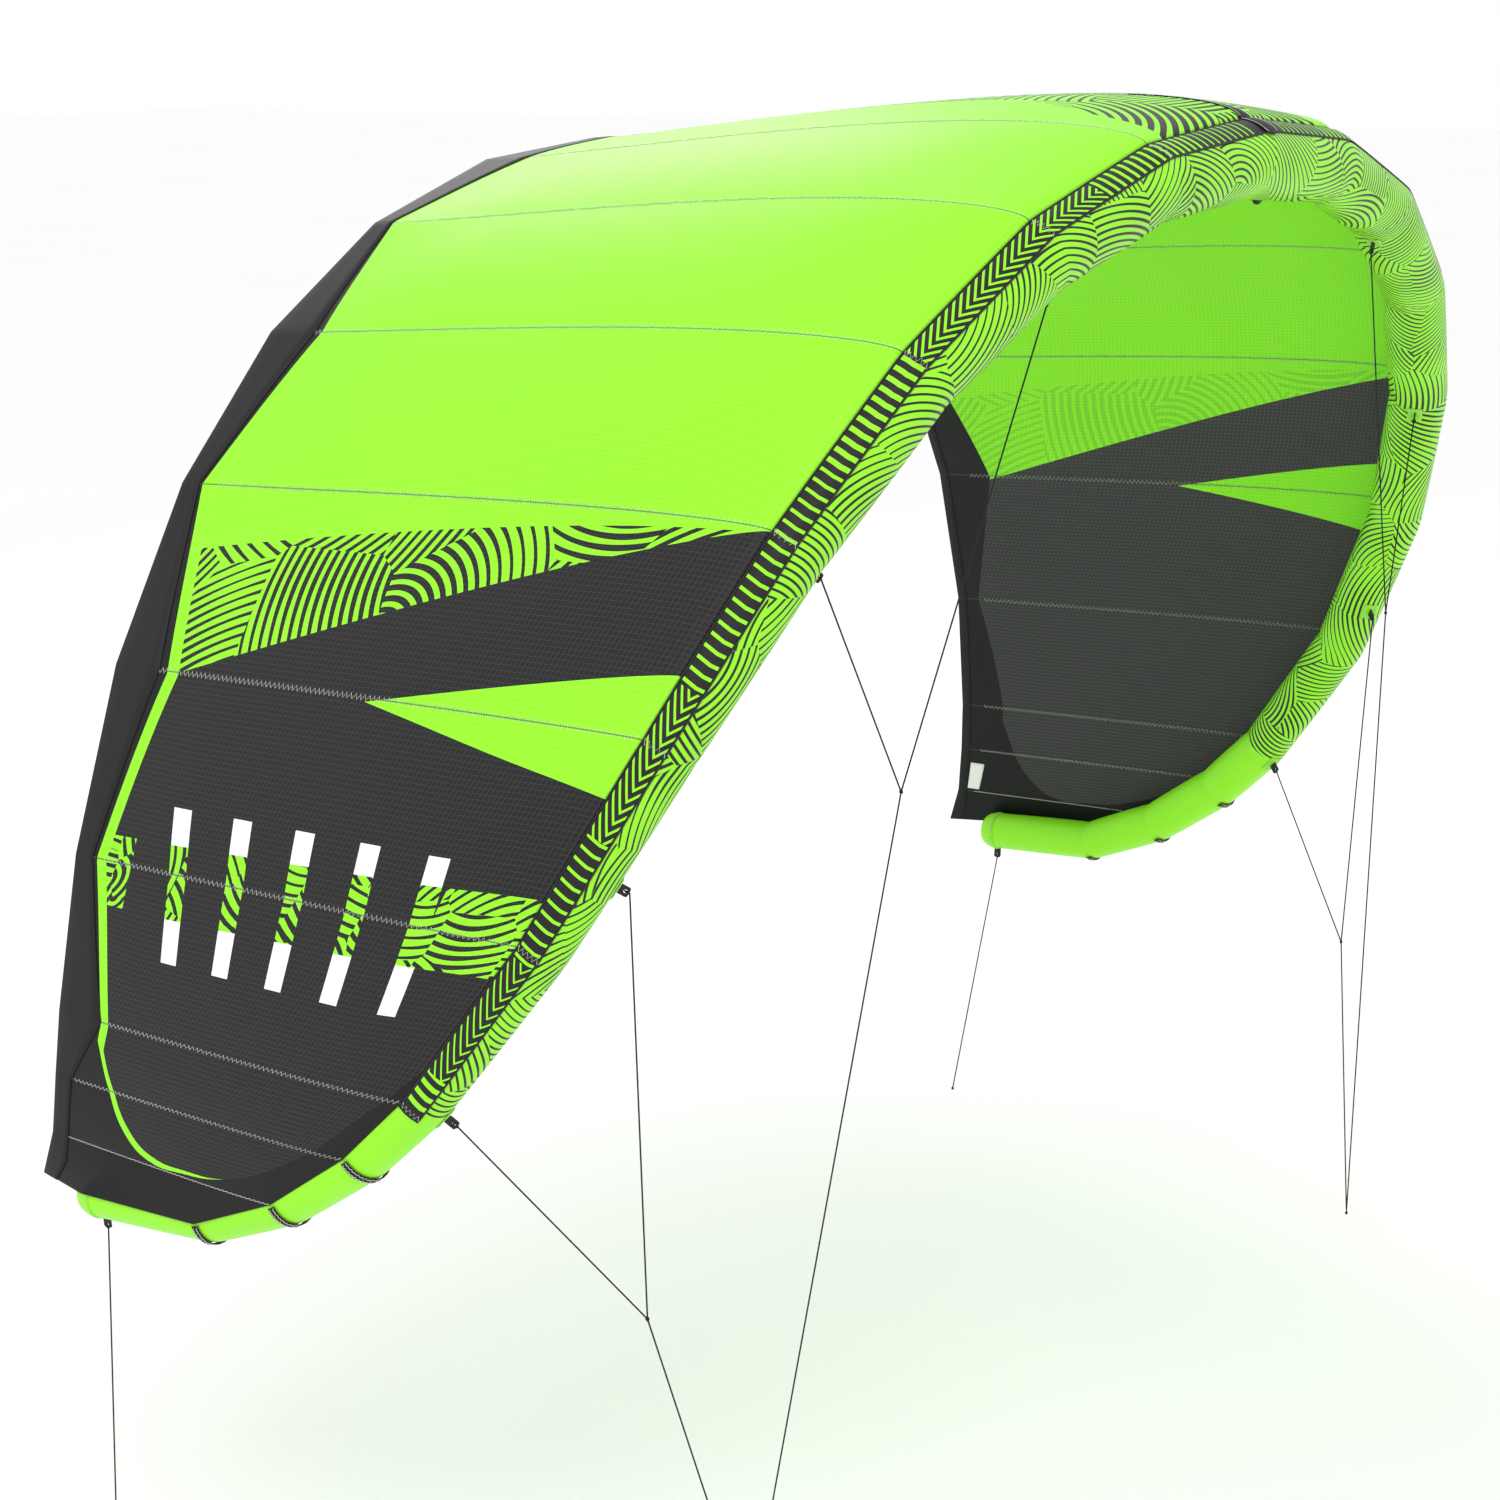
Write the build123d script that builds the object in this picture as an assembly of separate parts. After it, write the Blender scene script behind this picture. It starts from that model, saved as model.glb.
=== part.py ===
from build123d import *
import math
import os

# Single-strut inflatable kite for kitesurfing, about 7 square metres, in millimetres.
# Origin: centre of the leading edge tube on the plane of symmetry.
# +X along the span, +Y from leading edge to trailing edge, +Z up.

# ---------------------------------------------------------------- driving dimensions
half_span = 1600.0          # plane of symmetry to the tube's centre line at the tip
arch_height = 1800.0        # tube centre line, middle to tip
arch_exponent = 2.23        # 2 is an ellipse, more is squarer shoulders
nose_sweep = 1125.0         # how far the leading edge runs back at station 1
nose_sweep_tip = 90.0       # extra run back that comes in near the tip
edge_aft = 1492.0           # trailing edge behind the origin, at the middle
edge_aft_tip = 82.0         # extra at station 1
edge_rise = 12.0            # trailing edge above the tube's centre line
tube_radius = 73.0          # leading edge tube at the middle
tube_radius_loss = 26.0     # what it loses by station 1
camber = 0.064              # canopy height over its chord, at the middle
camber_loss = 0.050         # what it loses by station 1

# Stations along the half wing, where the sewn joints are: 0 is the middle, 1 near the tip.
joints = (0.0, 0.083, 0.181, 0.285, 0.395, 0.514, 0.642, 0.768, 0.832, 0.908, 0.983)
tube_end = 1.085            # where the sleeve stops and the tip cap starts
cap_length = 34.0
cap_gap = 0.4               # cap to the end of the sleeve
cap_waist = 0.55            # share of the cap's length where it starts to close in
cap_waist_radius = 0.86     # shares of the tube's radius there and at its end
cap_end_radius = 0.5
tip_joint = joints[-1]      # the canopy's last panel starts its run along the tube here
tip_gap = 0.06              # canopy's last edge to the tube, a share of the tube's radius
tip_corner_aft = 12.0
inner_count = 4             # sleeve pieces in the inner group
middle_count = 3            # sleeve pieces in the middle group
panel_count = 7             # canopy panels that are a node each, the rest are tip panels

sleeve_wall = 2.0           # cloth, made thicker than the real 0.3 mm
bladder_gap = 0.5           # sleeve to bladder
bladder_wall = 1.5
cloth = 2.0                 # canopy, made thicker than the real 0.1 mm
cloth_gap = 0.3             # canopy and sewn-on pieces to what lies under them
band_gap = 1.2              # trailing edge band to the canopy under it
band_cloth = 1.2            # trailing edge band, joint bands and strut patch
band_narrow = 43.0          # trailing edge band at even joints
band_wide = 114.0           # and at odd joints
joint_band_width = 24.0
joint_band_gap = 3.0        # clears the small kink that the tube has at a joint
mouth_from = 45.0           # degrees from straight aft, where a joint band is open for the canopy
mouth_to = 97.0

strut_radius = 44.0
strut_end_radius = 21.0
strut_start = 0.05          # shares of the middle chord
strut_end = 0.93
strut_spans = 5
strut_gap = 1.0             # strut to canopy, and strut to leading edge tube
patch_width = 46.0
patch_start = 0.16          # share of the middle chord that the patch covers
patch_gap = 1.4             # patch to the cloth under it
patch_wrap = 52.0           # degrees that it runs on round the tube

line_radius = 1.5
line_gap = 1.2              # between a line's end and its knot or tab
knot_radius = 5.0
open_gap = 9.0              # outer leg to front knot, the pivot that is left open
tab_width = 18.0
tab_height = 22.0
tab_cloth = 4.0
tab_hole = 7.0
tab_gap = 1.8               # tab to tube
back_tab_inset = 8.0        # back tab from the end of the tube
outer_knot = Vector(1382, 385, -1883)
inner_knot = Vector(987, 126, -1012)
front_knot = Vector(1233, 284, -2488)
back_knot = Vector(1525, 1531, -2488)
outer_rear_tab = 0.768      # stations of the four tabs on each side
outer_front_tab = 0.592
inner_rear_tab = 0.395
inner_front_tab = 0.181

valve_share = 0.52          # place of the inflate valve along the first right-hand sleeve piece
valve_angle = -38.0         # degrees round the tube from straight aft
valve_flange_rim = 8.0      # flange beyond the valve's body
valve_flange = 2.0
valve_radius = 21.0
valve_bore = 18.0           # diameter, for the pump nozzle
valve_height = 14.0
valve_reach = 12.0          # how far the body stands into the bladder
valve_fit = 0.3
lid_rim = 1.0               # lid beyond the valve's body
lid_thickness = 4.0
lid_gap = 0.5
pin_radius = 2.0
pin_fit = 0.3
knuckle_radius = 4.5
knuckle_width = 8.0
ear_width = 4.0
ear_depth = 12.0
ear_inset = 4.0             # ear's middle from the pin, towards the valve
lug_length = 10.0           # lid to knuckle

hose_radius = 6.0
hose_bore_radius = 4.0
hose_gap = 3.6              # hose end to the strut it is sealed to, on the slant
hose_start = Vector(96, 3.4, -14)       # outside the tube's aft line
hose_first = Vector(0, 66, 18)          # first run
hose_share = 0.138          # place on the strut, a share of the middle chord
hose_last = Vector(-40.5, 10, 20)       # last run, into the strut's side
hose_corner = 0.45          # share of the shorter run that a bend takes
port_depth = 60.0           # cut through sleeve and bladder for the hose's air
clip_length = 16.0
clip_side = 20.0
clip_height_share = 0.8
clip_fit = 0.4
clip_place = 20.0           # along the hose's first run

os.makedirs("parts", exist_ok=True)


# ---------------------------------------------------------------- shape of the wing
def arch_angle(s):
    return math.radians(min(90.0, 90.0 * (1.45 * s - 0.45 * s ** 3)) if s < 1.04 else 90.0)


def tube_centre(s, side=1):
    t = arch_angle(s)
    power = 2.0 / arch_exponent
    x = half_span * math.sin(t) ** power
    z = -arch_height * (1.0 - max(0.0, math.cos(t)) ** power)
    return Vector(side * x, nose_sweep * s ** 2 + nose_sweep_tip * s ** 4, z)


def edge_point(s, side=1):
    c = tube_centre(s, side)
    return Vector(c.X, edge_aft + edge_aft_tip * s ** 2, c.Z + edge_rise)


def radius_at(s):
    return tube_radius - tube_radius_loss * s


def rib_axes(s, side=1):
    """Along the tube towards the tip, aft square to it, and outward."""
    step = 0.004
    before = tube_centre(s - step, side) if s > step else tube_centre(step - s, -side)
    along = (tube_centre(s + step, side) - before).normalized()
    aft = edge_point(s, side) - tube_centre(s, side)
    aft = (aft - along * aft.dot(along)).normalized()
    outward = along.cross(aft) * side
    if outward.Z < 0 and s < 0.3 or outward.X * side < 0 and s >= 0.3:
        outward = outward * -1
    return along, aft, outward


def on_tube(s, degrees, height, side=1):
    """A point height above the sleeve, turned from straight aft towards outward."""
    along, aft, outward = rib_axes(s, side)
    a = math.radians(degrees)
    return tube_centre(s, side) + (aft * math.cos(a) + outward * math.sin(a)) * (radius_at(s) + height)


def canopy_point(s, share, height, side=1):
    """A point of the cloth at a share of the chord, height above its lower face."""
    start = on_tube(s, 90, cloth_gap, side)
    chord = edge_point(s, side) - start
    outward = rib_axes(s, side)[2]
    up = (outward - chord * (outward.dot(chord) / chord.length ** 2)).normalized()
    share = min(max(share, 0.0), 1.0)
    rise = (camber - camber_loss * min(s, 1.0)) * chord.length * 1.829 * share ** 0.56 * (1 - share) ** 1.39
    return start + chord * share + up * (rise + height)


def tip_point(s, share, height, side=1):
    """The last edge of the canopy: along the outside of the tube, then in to the corner."""
    start = tube_centre(tip_joint, side)
    corner = edge_point(1.0, side) + Vector(0, tip_corner_aft, 0)
    stop = (tube_centre(s, side).Y - start.Y) / (corner.Y - start.Y)
    radius = radius_at(tip_joint) + (radius_at(s) - radius_at(tip_joint)) * min(share / stop, 1.0)
    bulge = radius * min(1.0, (1.0 - share) / (1.0 - stop))
    p = start + (corner - start) * share
    return Vector(side * (half_span + bulge + height + radius * tip_gap), p.Y, p.Z)


# ---------------------------------------------------------------- builders
def save(name, *solids):
    shape = solids[0] if len(solids) == 1 else Compound(children=list(solids))
    shape.label = name
    export_step(shape, f"parts/{name}.step")


def ring_face(centre, normal, radius, x_dir=(0, 0, 1)):
    return Plane(origin=centre, x_dir=x_dir, z_dir=normal) * Circle(radius)


def tube_span(stations, radius_change, side):
    """Solid of straight spans through the joints, with mitred ends."""
    faces = []
    for s in stations:
        along = rib_axes(s, side)[0]
        faces.append(ring_face(tube_centre(s, side), along, radius_at(s) + radius_change,
                               rib_axes(s, side)[1]))
    return loft(faces, ruled=True)


def cloth_profile(s, first, last, low, high, side, steps=10):
    """Closed outline of a strip of cloth in the rib's plane, from one chord share to another."""
    point = tip_point if s == tube_end else canopy_point
    shares = [first + (last - first) * (i / steps) ** 1.6 for i in range(steps + 1)]
    upper = [point(s, v, high, side) for v in shares]
    lower = [point(s, v, low, side) for v in shares]
    outline = Wire([Edge.make_spline(upper), Edge.make_line(upper[-1], lower[-1]),
                    Edge.make_spline(lower[::-1]), Edge.make_line(lower[0], upper[0])])
    return Face(outline)


def straight_line(a, b, trim_a, trim_b, radius=line_radius):
    d = (b - a).normalized()
    start = a + d * trim_a
    return extrude(Plane(origin=start, z_dir=d) * Circle(radius), (b - a).length - trim_a - trim_b)


def span_at(s, side):
    """Middle of the straight-sided sleeve at a station, and the way it runs there."""
    if s in joints:
        return tube_centre(s, side), rib_axes(s, side)[0]
    after = next(i for i, joint in enumerate(joints) if joint > s)
    a, b = tube_centre(joints[after - 1], side), tube_centre(joints[after], side)
    share = (s - joints[after - 1]) / (joints[after] - joints[after - 1])
    return a + (b - a) * share, (b - a).normalized()


def webbing_tab(centre, along, knot, radius):
    """A flat tab with an eye, square to the tube and pointing at a knot, and where its line starts."""
    down = knot - centre
    down = (down - along * down.dot(along)).normalized()
    root = centre + down * (radius + tab_gap)
    tab = Plane(origin=root, x_dir=along, z_dir=down) * (
        Pos(0, 0, tab_height / 2) * Box(tab_width, tab_cloth, tab_height))
    eye = Plane(origin=root + down * (tab_height - tab_hole), x_dir=along, z_dir=along.cross(down))
    tab -= extrude(eye * Circle(tab_hole / 2), tab_cloth, both=True)
    return tab, root + down * (tab_height + line_gap)


def mirror_x(v):
    return Vector(-v.X, v.Y, v.Z)


def strut_centre(share, radius):
    """Centre line of the strut, hanging under the middle rib."""
    p = canopy_point(0, share, 0)
    before, after = canopy_point(0, share - 0.01, 0), canopy_point(0, share + 0.01, 0)
    along = (after - before).normalized()
    down = Vector(0, along.Z, -along.Y).normalized()
    return p + down * (radius + strut_gap), along


def strut_span(change, trim):
    """Straight spans of the strut, its radius changed and its ends trimmed by a share."""
    faces = []
    for i in range(strut_spans + 1):
        share = strut_start + (strut_end - strut_start) * i / strut_spans
        radius = strut_radius + (strut_end_radius - strut_radius) * i / strut_spans
        centre, along = strut_centre(share, radius)
        centre += along * (trim if i == 0 else -trim if i == strut_spans else 0)
        faces.append(Plane(origin=centre, x_dir=(1, 0, 0), z_dir=along) * Circle(radius + change))
    return loft(faces, ruled=True)


# ---------------------------------------------------------------- openings at the middle
# place of the inflate valve, and its hole through sleeve and bladder
near, far = tube_centre(joints[0]), tube_centre(joints[1])
valve_axis_point = near + (far - near) * valve_share
span_dir = (far - near).normalized()
_, span_aft, span_out = rib_axes(joints[1] * valve_share)
turn = math.radians(valve_angle)
valve_dir = span_aft * math.cos(turn) + span_out * math.sin(turn)
valve_dir = (valve_dir - span_dir * valve_dir.dot(span_dir)).normalized()
valve_surface = radius_at(0) + (radius_at(joints[1]) - radius_at(0)) * valve_share
valve_seat = valve_axis_point + valve_dir * (valve_surface + cloth_gap)
valve_plane = Plane(origin=valve_seat, x_dir=span_dir, z_dir=valve_dir)


def valve_disc(radius, low, high):
    return extrude(valve_plane.offset(low) * Circle(radius), high - low)


valve_hole = valve_disc(valve_radius + valve_fit, -3 * valve_reach, valve_reach)

# path of the hose that fills the strut from the leading edge, and the holes at its ends
def strut_radius_at(share):
    return strut_radius + (strut_end_radius - strut_radius) * (share - strut_start) / (strut_end - strut_start)


hose_end = strut_centre(hose_share, strut_radius_at(hose_share))[0]
hose_end += Vector(strut_radius_at(hose_share) + hose_gap, 0, 0)
hose_from = hose_start + Vector(0, tube_radius, 0)
hose_points = (hose_from, hose_from + hose_first, hose_end - hose_last, hose_end)
hose_runs = list(zip(hose_points, hose_points[1:]))
hose_radii = []
for (a, b), (_, c) in zip(hose_runs, hose_runs[1:]):
    corner = math.radians((b - a).get_angle(c - b))
    hose_radii.append(hose_corner * min((b - a).length, (c - b).length) / math.tan(corner / 2))
hose_path = FilletPolyline(*hose_points, radius=hose_radii)
first_run, last_run = hose_first.normalized(), hose_last.normalized()
hose_plane = Plane(origin=hose_from, z_dir=first_run)
front_port = extrude(hose_plane.offset(-port_depth) * Circle(hose_bore_radius), port_depth)
strut_port = extrude(Plane(origin=hose_end - last_run, z_dir=last_run) * Circle(hose_bore_radius),
                     strut_radius_at(hose_share))


# ---------------------------------------------------------------- wing, both sides
ends = joints + (tube_end,)
rib_ends = joints[:-1] + (tube_end,)
sides = {"left": -1, "right": 1}
groups = {"inner": ends[:inner_count + 1],
          "middle": ends[inner_count:inner_count + middle_count + 1],
          "tip": ends[inner_count + middle_count:]}

for side_name, side in sides.items():
    # sleeve of the leading edge, one sewn piece between each two joints
    for group, stations in groups.items():
        pieces = [tube_span(pair, 0.0, side) - tube_span(pair, -sleeve_wall, side)
                  for pair in zip(stations, stations[1:])]
        if side > 0 and group == "inner":
            pieces[0] = pieces[0] - valve_hole - front_port
        save(f"leading_edge_sleeve_{side_name}_{group}", *pieces)

    # canopy panels between ribs, and the narrow ones at the tip
    profiles = [cloth_profile(s, 0.0, 1.0, 0.0, cloth, side) for s in rib_ends]
    panels = [loft(list(pair), ruled=True) for pair in zip(profiles, profiles[1:])]
    for i in range(panel_count):
        save(f"canopy_{side_name}_{i + 1}", panels[i])
    save(f"canopy_{side_name}_tip", *panels[panel_count:])

    # doubled band along the trailing edge
    strips = []
    for i, s in enumerate(rib_ends):
        chord = (edge_point(min(s, 1.0), side) - on_tube(min(s, 1.0), 90, 0, side)).length
        width = band_wide if i % 2 and i <= panel_count else band_narrow
        low = cloth + band_gap
        strips.append(cloth_profile(s, 1 - width / chord, 1.0, low, low + band_cloth, side, 3))
    save(f"trailing_edge_band_{side_name}", loft(strips, ruled=True))

    # dark bands round the outer three joints, open where the canopy is sewn on
    bands = []
    for s in joints[-3:]:
        along, aft, outward = rib_axes(s, side)
        frame = Plane(origin=tube_centre(s, side), x_dir=aft, z_dir=along * side)
        inner_r = radius_at(s) + joint_band_gap
        ring = Circle(inner_r + band_cloth) - Circle(inner_r)
        reach = 4 * radius_at(s)
        corners = [(reach * math.cos(math.radians(d)), reach * math.sin(math.radians(d)))
                   for d in (mouth_from, mouth_to)]
        mouth = Polygon((0, 0), *corners, align=None)
        bands.append(extrude(frame * (ring - mouth), joint_band_width / 2, both=True))
    save(f"joint_bands_{side_name}", *bands)

    # closed end of the tube
    end_along, end_aft, _ = rib_axes(tube_end, side)
    end_radius = radius_at(tube_end)
    cap_faces = [ring_face(tube_centre(tube_end, side) + end_along * step, end_along,
                           end_radius * share, end_aft)
                 for step, share in ((cap_gap, 1.0), (cap_length * cap_waist, cap_waist_radius),
                                     (cap_length, cap_end_radius))]
    save(f"tip_cap_{side_name}", loft(cap_faces, ruled=True))

    # webbing tabs of the bridle, each pointing at the knot its line runs to
    def place(v):
        return v if side > 0 else mirror_x(v)

    legs = {"outer_rear": (outer_rear_tab, outer_knot), "outer_front": (outer_front_tab, outer_knot),
            "inner_rear": (inner_rear_tab, inner_knot), "inner_front": (inner_front_tab, inner_knot)}
    tabs = []
    line_starts = {}
    for leg, (s, knot) in legs.items():
        tab, line_starts[leg] = webbing_tab(*span_at(s, side), place(knot), radius_at(s))
        tabs.append(tab)
    back = place(back_knot)
    cap_root = tube_centre(tube_end, side) - end_along * back_tab_inset
    tab, back_start = webbing_tab(cap_root, end_along, back, end_radius)
    tabs.append(tab)
    save(f"bridle_tabs_{side_name}", *tabs)

    # lines: straight, because the kite pulls on them, with a knot where they meet
    trim = knot_radius + line_gap
    for leg, start in line_starts.items():
        knot = place(legs[leg][1])
        save(f"bridle_{leg}_{side_name}", straight_line(start, knot, 0, trim))
    front = place(front_knot)
    save(f"bridle_outer_leg_{side_name}", straight_line(place(outer_knot), front, trim, trim + open_gap))
    save(f"bridle_inner_leg_{side_name}", straight_line(place(inner_knot), front, trim, trim))
    save(f"back_line_{side_name}", straight_line(back_start, back, 0, trim))
    for name, centre in (("outer", outer_knot), ("inner", inner_knot), ("front", front_knot),
                         ("back", back_knot)):
        c = place(centre)
        save(f"{name}_knot_{side_name}", Pos(c.X, c.Y, c.Z) * Sphere(knot_radius))
    print(side_name, {k: tuple(round(q, 1) for q in v) for k, v in line_starts.items()},
          tuple(round(q, 1) for q in back_start))


# ---------------------------------------------------------------- middle of the wing
# bladder of the leading edge, one tube from tip to tip
bladder_out = -sleeve_wall - bladder_gap
whole = [(s, -1) for s in ends[:0:-1]] + [(s, 1) for s in ends]


def whole_span(radius_change, end_trim):
    faces = []
    for s, side in whole:
        s_here = s - end_trim if s == tube_end else s
        along, aft, _ = rib_axes(s_here, side)
        faces.append(ring_face(tube_centre(s_here, side), along * side, radius_at(s) + radius_change, aft))
    return loft(faces, ruled=True)


bladder = whole_span(bladder_out, 0.004) - whole_span(bladder_out - bladder_wall, 0.006)

lid_radius = valve_radius + lid_rim
hinge_y = lid_radius + knuckle_radius
hinge_z = valve_height + lid_gap + lid_thickness / 2
pin_length = knuckle_width + 2 * (ear_width + pin_fit)
valve_body = valve_disc(valve_radius + valve_flange_rim, 0, valve_flange)
valve_body += valve_disc(valve_radius, -valve_reach, valve_height)
for direction in (-1, 1):
    x = direction * (knuckle_width / 2 + pin_fit + ear_width / 2)
    ear_height = hinge_z + knuckle_radius
    valve_body += valve_plane * (Pos(x, hinge_y - ear_inset, ear_height / 2)
                                 * Box(ear_width, ear_depth, ear_height))
pin = extrude(valve_plane * Pos(-pin_length / 2, hinge_y, hinge_z) * Rot(0, 90, 0) * Circle(pin_radius),
              pin_length)
valve_body += pin
valve_body -= valve_disc(valve_bore / 2, -2 * valve_reach, 2 * valve_height)
save("inflate_valve_body", valve_body)

lid = valve_disc(lid_radius, valve_height + lid_gap, valve_height + lid_gap + lid_thickness)
lid += valve_plane * (Pos(0, hinge_y - lug_length / 2, hinge_z)
                      * Box(knuckle_width, lug_length, lid_thickness))
lid += extrude(valve_plane * Pos(-knuckle_width / 2, hinge_y, hinge_z) * Rot(0, 90, 0)
               * Circle(knuckle_radius), knuckle_width)
lid -= extrude(valve_plane * Pos(-pin_length / 2, hinge_y, hinge_z) * Rot(0, 90, 0)
               * Circle(pin_radius + pin_fit), pin_length)
for direction in (-1, 1):
    x = direction * (knuckle_width / 2 + pin_fit + ear_width / 2)
    lid -= valve_plane * (Pos(x, hinge_y - ear_inset, hinge_z)
                          * Box(ear_width + 2 * pin_fit, ear_depth + 2, 4 * knuckle_radius))
save("inflate_valve_lid", lid)

# strut and its bladder
strut_sleeve = strut_span(0, 0) - strut_span(-sleeve_wall, sleeve_wall)
strut_trim = sleeve_wall + bladder_gap
strut_bladder = strut_span(bladder_out, strut_trim) - strut_span(bladder_out - bladder_wall,
                                                                 strut_trim + bladder_wall)

# hose and slide clip, and the sleeves and bladders that the air passes through
save("one_pump_hose", sweep(hose_plane * (Circle(hose_radius) - Circle(hose_bore_radius)), path=hose_path))
save("leading_edge_bladder", bladder - valve_hole - front_port)
save("strut_sleeve", strut_sleeve - strut_port)
save("strut_bladder", strut_bladder - strut_port)

clip_plane = hose_plane.offset(clip_place - clip_length / 2)
clip = clip_plane * (Pos(0, 0, clip_length / 2) * Box(clip_side, clip_side * clip_height_share, clip_length))
clip -= extrude(clip_plane * Circle(hose_radius + clip_fit), clip_length)
save("hose_clip", clip)

# patch that ties the strut's seam over the front of the tube
lower, upper = [], []
for i in range(9):
    share = patch_start * (1 - i / 8) ** 1.5
    lower.append(canopy_point(0, share, cloth + patch_gap))
    upper.append(canopy_point(0, share, cloth + patch_gap + band_cloth))
for i in range(1, 7):
    lift = (cloth + cloth_gap) * (1 - i / 6) + patch_gap
    lower.append(on_tube(0, 90 + patch_wrap * i / 6, lift))
    upper.append(on_tube(0, 90 + patch_wrap * i / 6, lift + band_cloth))
patch_face = Face(Wire(Polyline(*lower, *upper[::-1], close=True).edges()))
save("strut_patch", extrude(patch_face, patch_width / 2, dir=(1, 0, 0), both=True))

print("hose bend radii", [round(r, 1) for r in hose_radii])
print("hose points", [tuple(round(q, 1) for q in v) for v in hose_points])
print("hose length", round(hose_path.length, 1), "first run", tuple(round(q, 3) for q in first_run))
print("valve seat", tuple(round(q, 2) for q in valve_seat), "axis", tuple(round(q, 4) for q in valve_dir),
      "hinge", tuple(round(q, 2) for q in valve_plane.from_local_coords(Vector(0, hinge_y, hinge_z))),
      "hinge axis", tuple(round(q, 4) for q in span_dir))
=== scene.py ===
import math

import bmesh
import bpy
from mathutils import Matrix, Vector


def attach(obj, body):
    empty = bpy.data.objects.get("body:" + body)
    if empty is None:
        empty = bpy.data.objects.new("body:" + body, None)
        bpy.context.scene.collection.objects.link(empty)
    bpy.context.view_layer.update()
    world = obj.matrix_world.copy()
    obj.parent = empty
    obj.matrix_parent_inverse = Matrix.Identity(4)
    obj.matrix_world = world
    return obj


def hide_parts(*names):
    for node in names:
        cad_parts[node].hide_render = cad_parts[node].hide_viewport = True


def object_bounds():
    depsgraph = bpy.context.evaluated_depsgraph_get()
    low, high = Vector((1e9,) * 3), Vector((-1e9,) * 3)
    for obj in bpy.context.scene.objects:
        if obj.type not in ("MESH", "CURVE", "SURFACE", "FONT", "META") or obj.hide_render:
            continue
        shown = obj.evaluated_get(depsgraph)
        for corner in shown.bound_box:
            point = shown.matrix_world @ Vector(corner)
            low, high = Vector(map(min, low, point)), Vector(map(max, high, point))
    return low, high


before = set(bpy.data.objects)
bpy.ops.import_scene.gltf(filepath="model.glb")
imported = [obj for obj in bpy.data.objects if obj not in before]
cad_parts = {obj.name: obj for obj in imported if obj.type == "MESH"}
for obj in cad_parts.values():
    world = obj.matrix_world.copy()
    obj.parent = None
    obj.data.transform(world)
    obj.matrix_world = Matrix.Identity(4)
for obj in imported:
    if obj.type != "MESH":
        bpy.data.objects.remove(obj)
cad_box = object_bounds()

# ---------------------------------------------------------------- studio
# A plain pale room: one big soft light high on the near side, a weaker one from behind, and a
# long lens that looks a little down at the kite. Sizes are in metres.
scene = bpy.context.scene
scene.view_settings.view_transform = "Standard"
lens = bpy.data.cameras.new("camera")
lens.lens, lens.sensor_width, lens.clip_end = 81.6, 36.0, 200.0
camera_place = (-5.7351, -2.8294, 0.3158)
camera_right, camera_up = Vector((0.56482, -0.82516, -0.00912)), Vector((0.1856, 0.11626, 0.97572))
camera_back = Vector((-0.80407, -0.5528, 0.21882))
camera = bpy.data.objects.new("camera", lens)
scene.collection.objects.link(camera)
camera.matrix_world = (Matrix.Translation(camera_place)
                       @ Matrix((camera_right, camera_up, camera_back)).transposed().to_4x4())
scene.camera = camera

room = bpy.data.worlds.new("room")
scene.world = room
room.use_nodes = True
room.node_tree.nodes["Background"].inputs["Color"].default_value = (1.0, 1.0, 1.0, 1.0)
room.node_tree.nodes["Background"].inputs["Strength"].default_value = 1.0


def new_object(name, data):
    made = bpy.data.objects.new(name, data)
    scene.collection.objects.link(made)
    return made


def select_only(*pieces):
    bpy.ops.object.select_all(action="DESELECT")
    for piece in pieces:
        piece.select_set(True)
    bpy.context.view_layer.objects.active = pieces[0]


def soft_light(name, place, target, size, power):
    data = bpy.data.lights.new(name, "AREA")
    data.shape, data.size, data.energy = "SQUARE", size, power
    data.specular_factor = 0.12
    lamp = new_object(name, data)
    turn = (Vector(target) - Vector(place)).to_track_quat("-Z", "Y")
    lamp.matrix_world = Matrix.Translation(place) @ turn.to_matrix().to_4x4()


kite_middle, light_width = (0.0, 0.6, -0.8), 4.0
soft_light("key_light", (-7.5, -2.0, 6.5), kite_middle, light_width, 260)
soft_light("back_light", (5.5, 7.0, 4.0), kite_middle, light_width, 140)


def add(tree, kind, sockets, **settings):
    """A shader node. sockets maps an input to a number, a colour or another node's output."""
    made = tree.nodes.new(kind)
    for name, value in settings.items():
        setattr(made, name, value)
    for name, value in sockets.items():
        if isinstance(value, bpy.types.NodeSocket):
            tree.links.new(value, made.inputs[name])
        else:
            made.inputs[name].default_value = value
    return made


def calc(tree, operation, *values):
    return add(tree, "ShaderNodeMath", dict(enumerate(values)), operation=operation).outputs[0]


def blank_material(name, roughness, specular=0.5):
    """A new material, its node tree and its Principled shader."""
    made = bpy.data.materials.new(name)
    made.use_nodes = True
    shader = made.node_tree.nodes["Principled BSDF"]
    shader.inputs["Roughness"].default_value = roughness
    shader.inputs["Specular IOR Level"].default_value = specular
    return made, made.node_tree, shader


def mix_colour(tree, share, low, high):
    """low where share is 0 and high where it is 1."""
    made = add(tree, "ShaderNodeMix", {}, data_type="RGBA")
    for name, value in (("Factor", share), ("A", low), ("B", high)):
        socket = next(i for i in made.inputs if i.name == name and (name == "Factor" or i.type == "RGBA")
                      and (name != "Factor" or i.type == "VALUE"))
        if isinstance(value, bpy.types.NodeSocket):
            tree.links.new(value, socket)
        else:
            socket.default_value = value if name == "Factor" else (*value, 1.0)
    return next(o for o in made.outputs if o.type == "RGBA")


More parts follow.
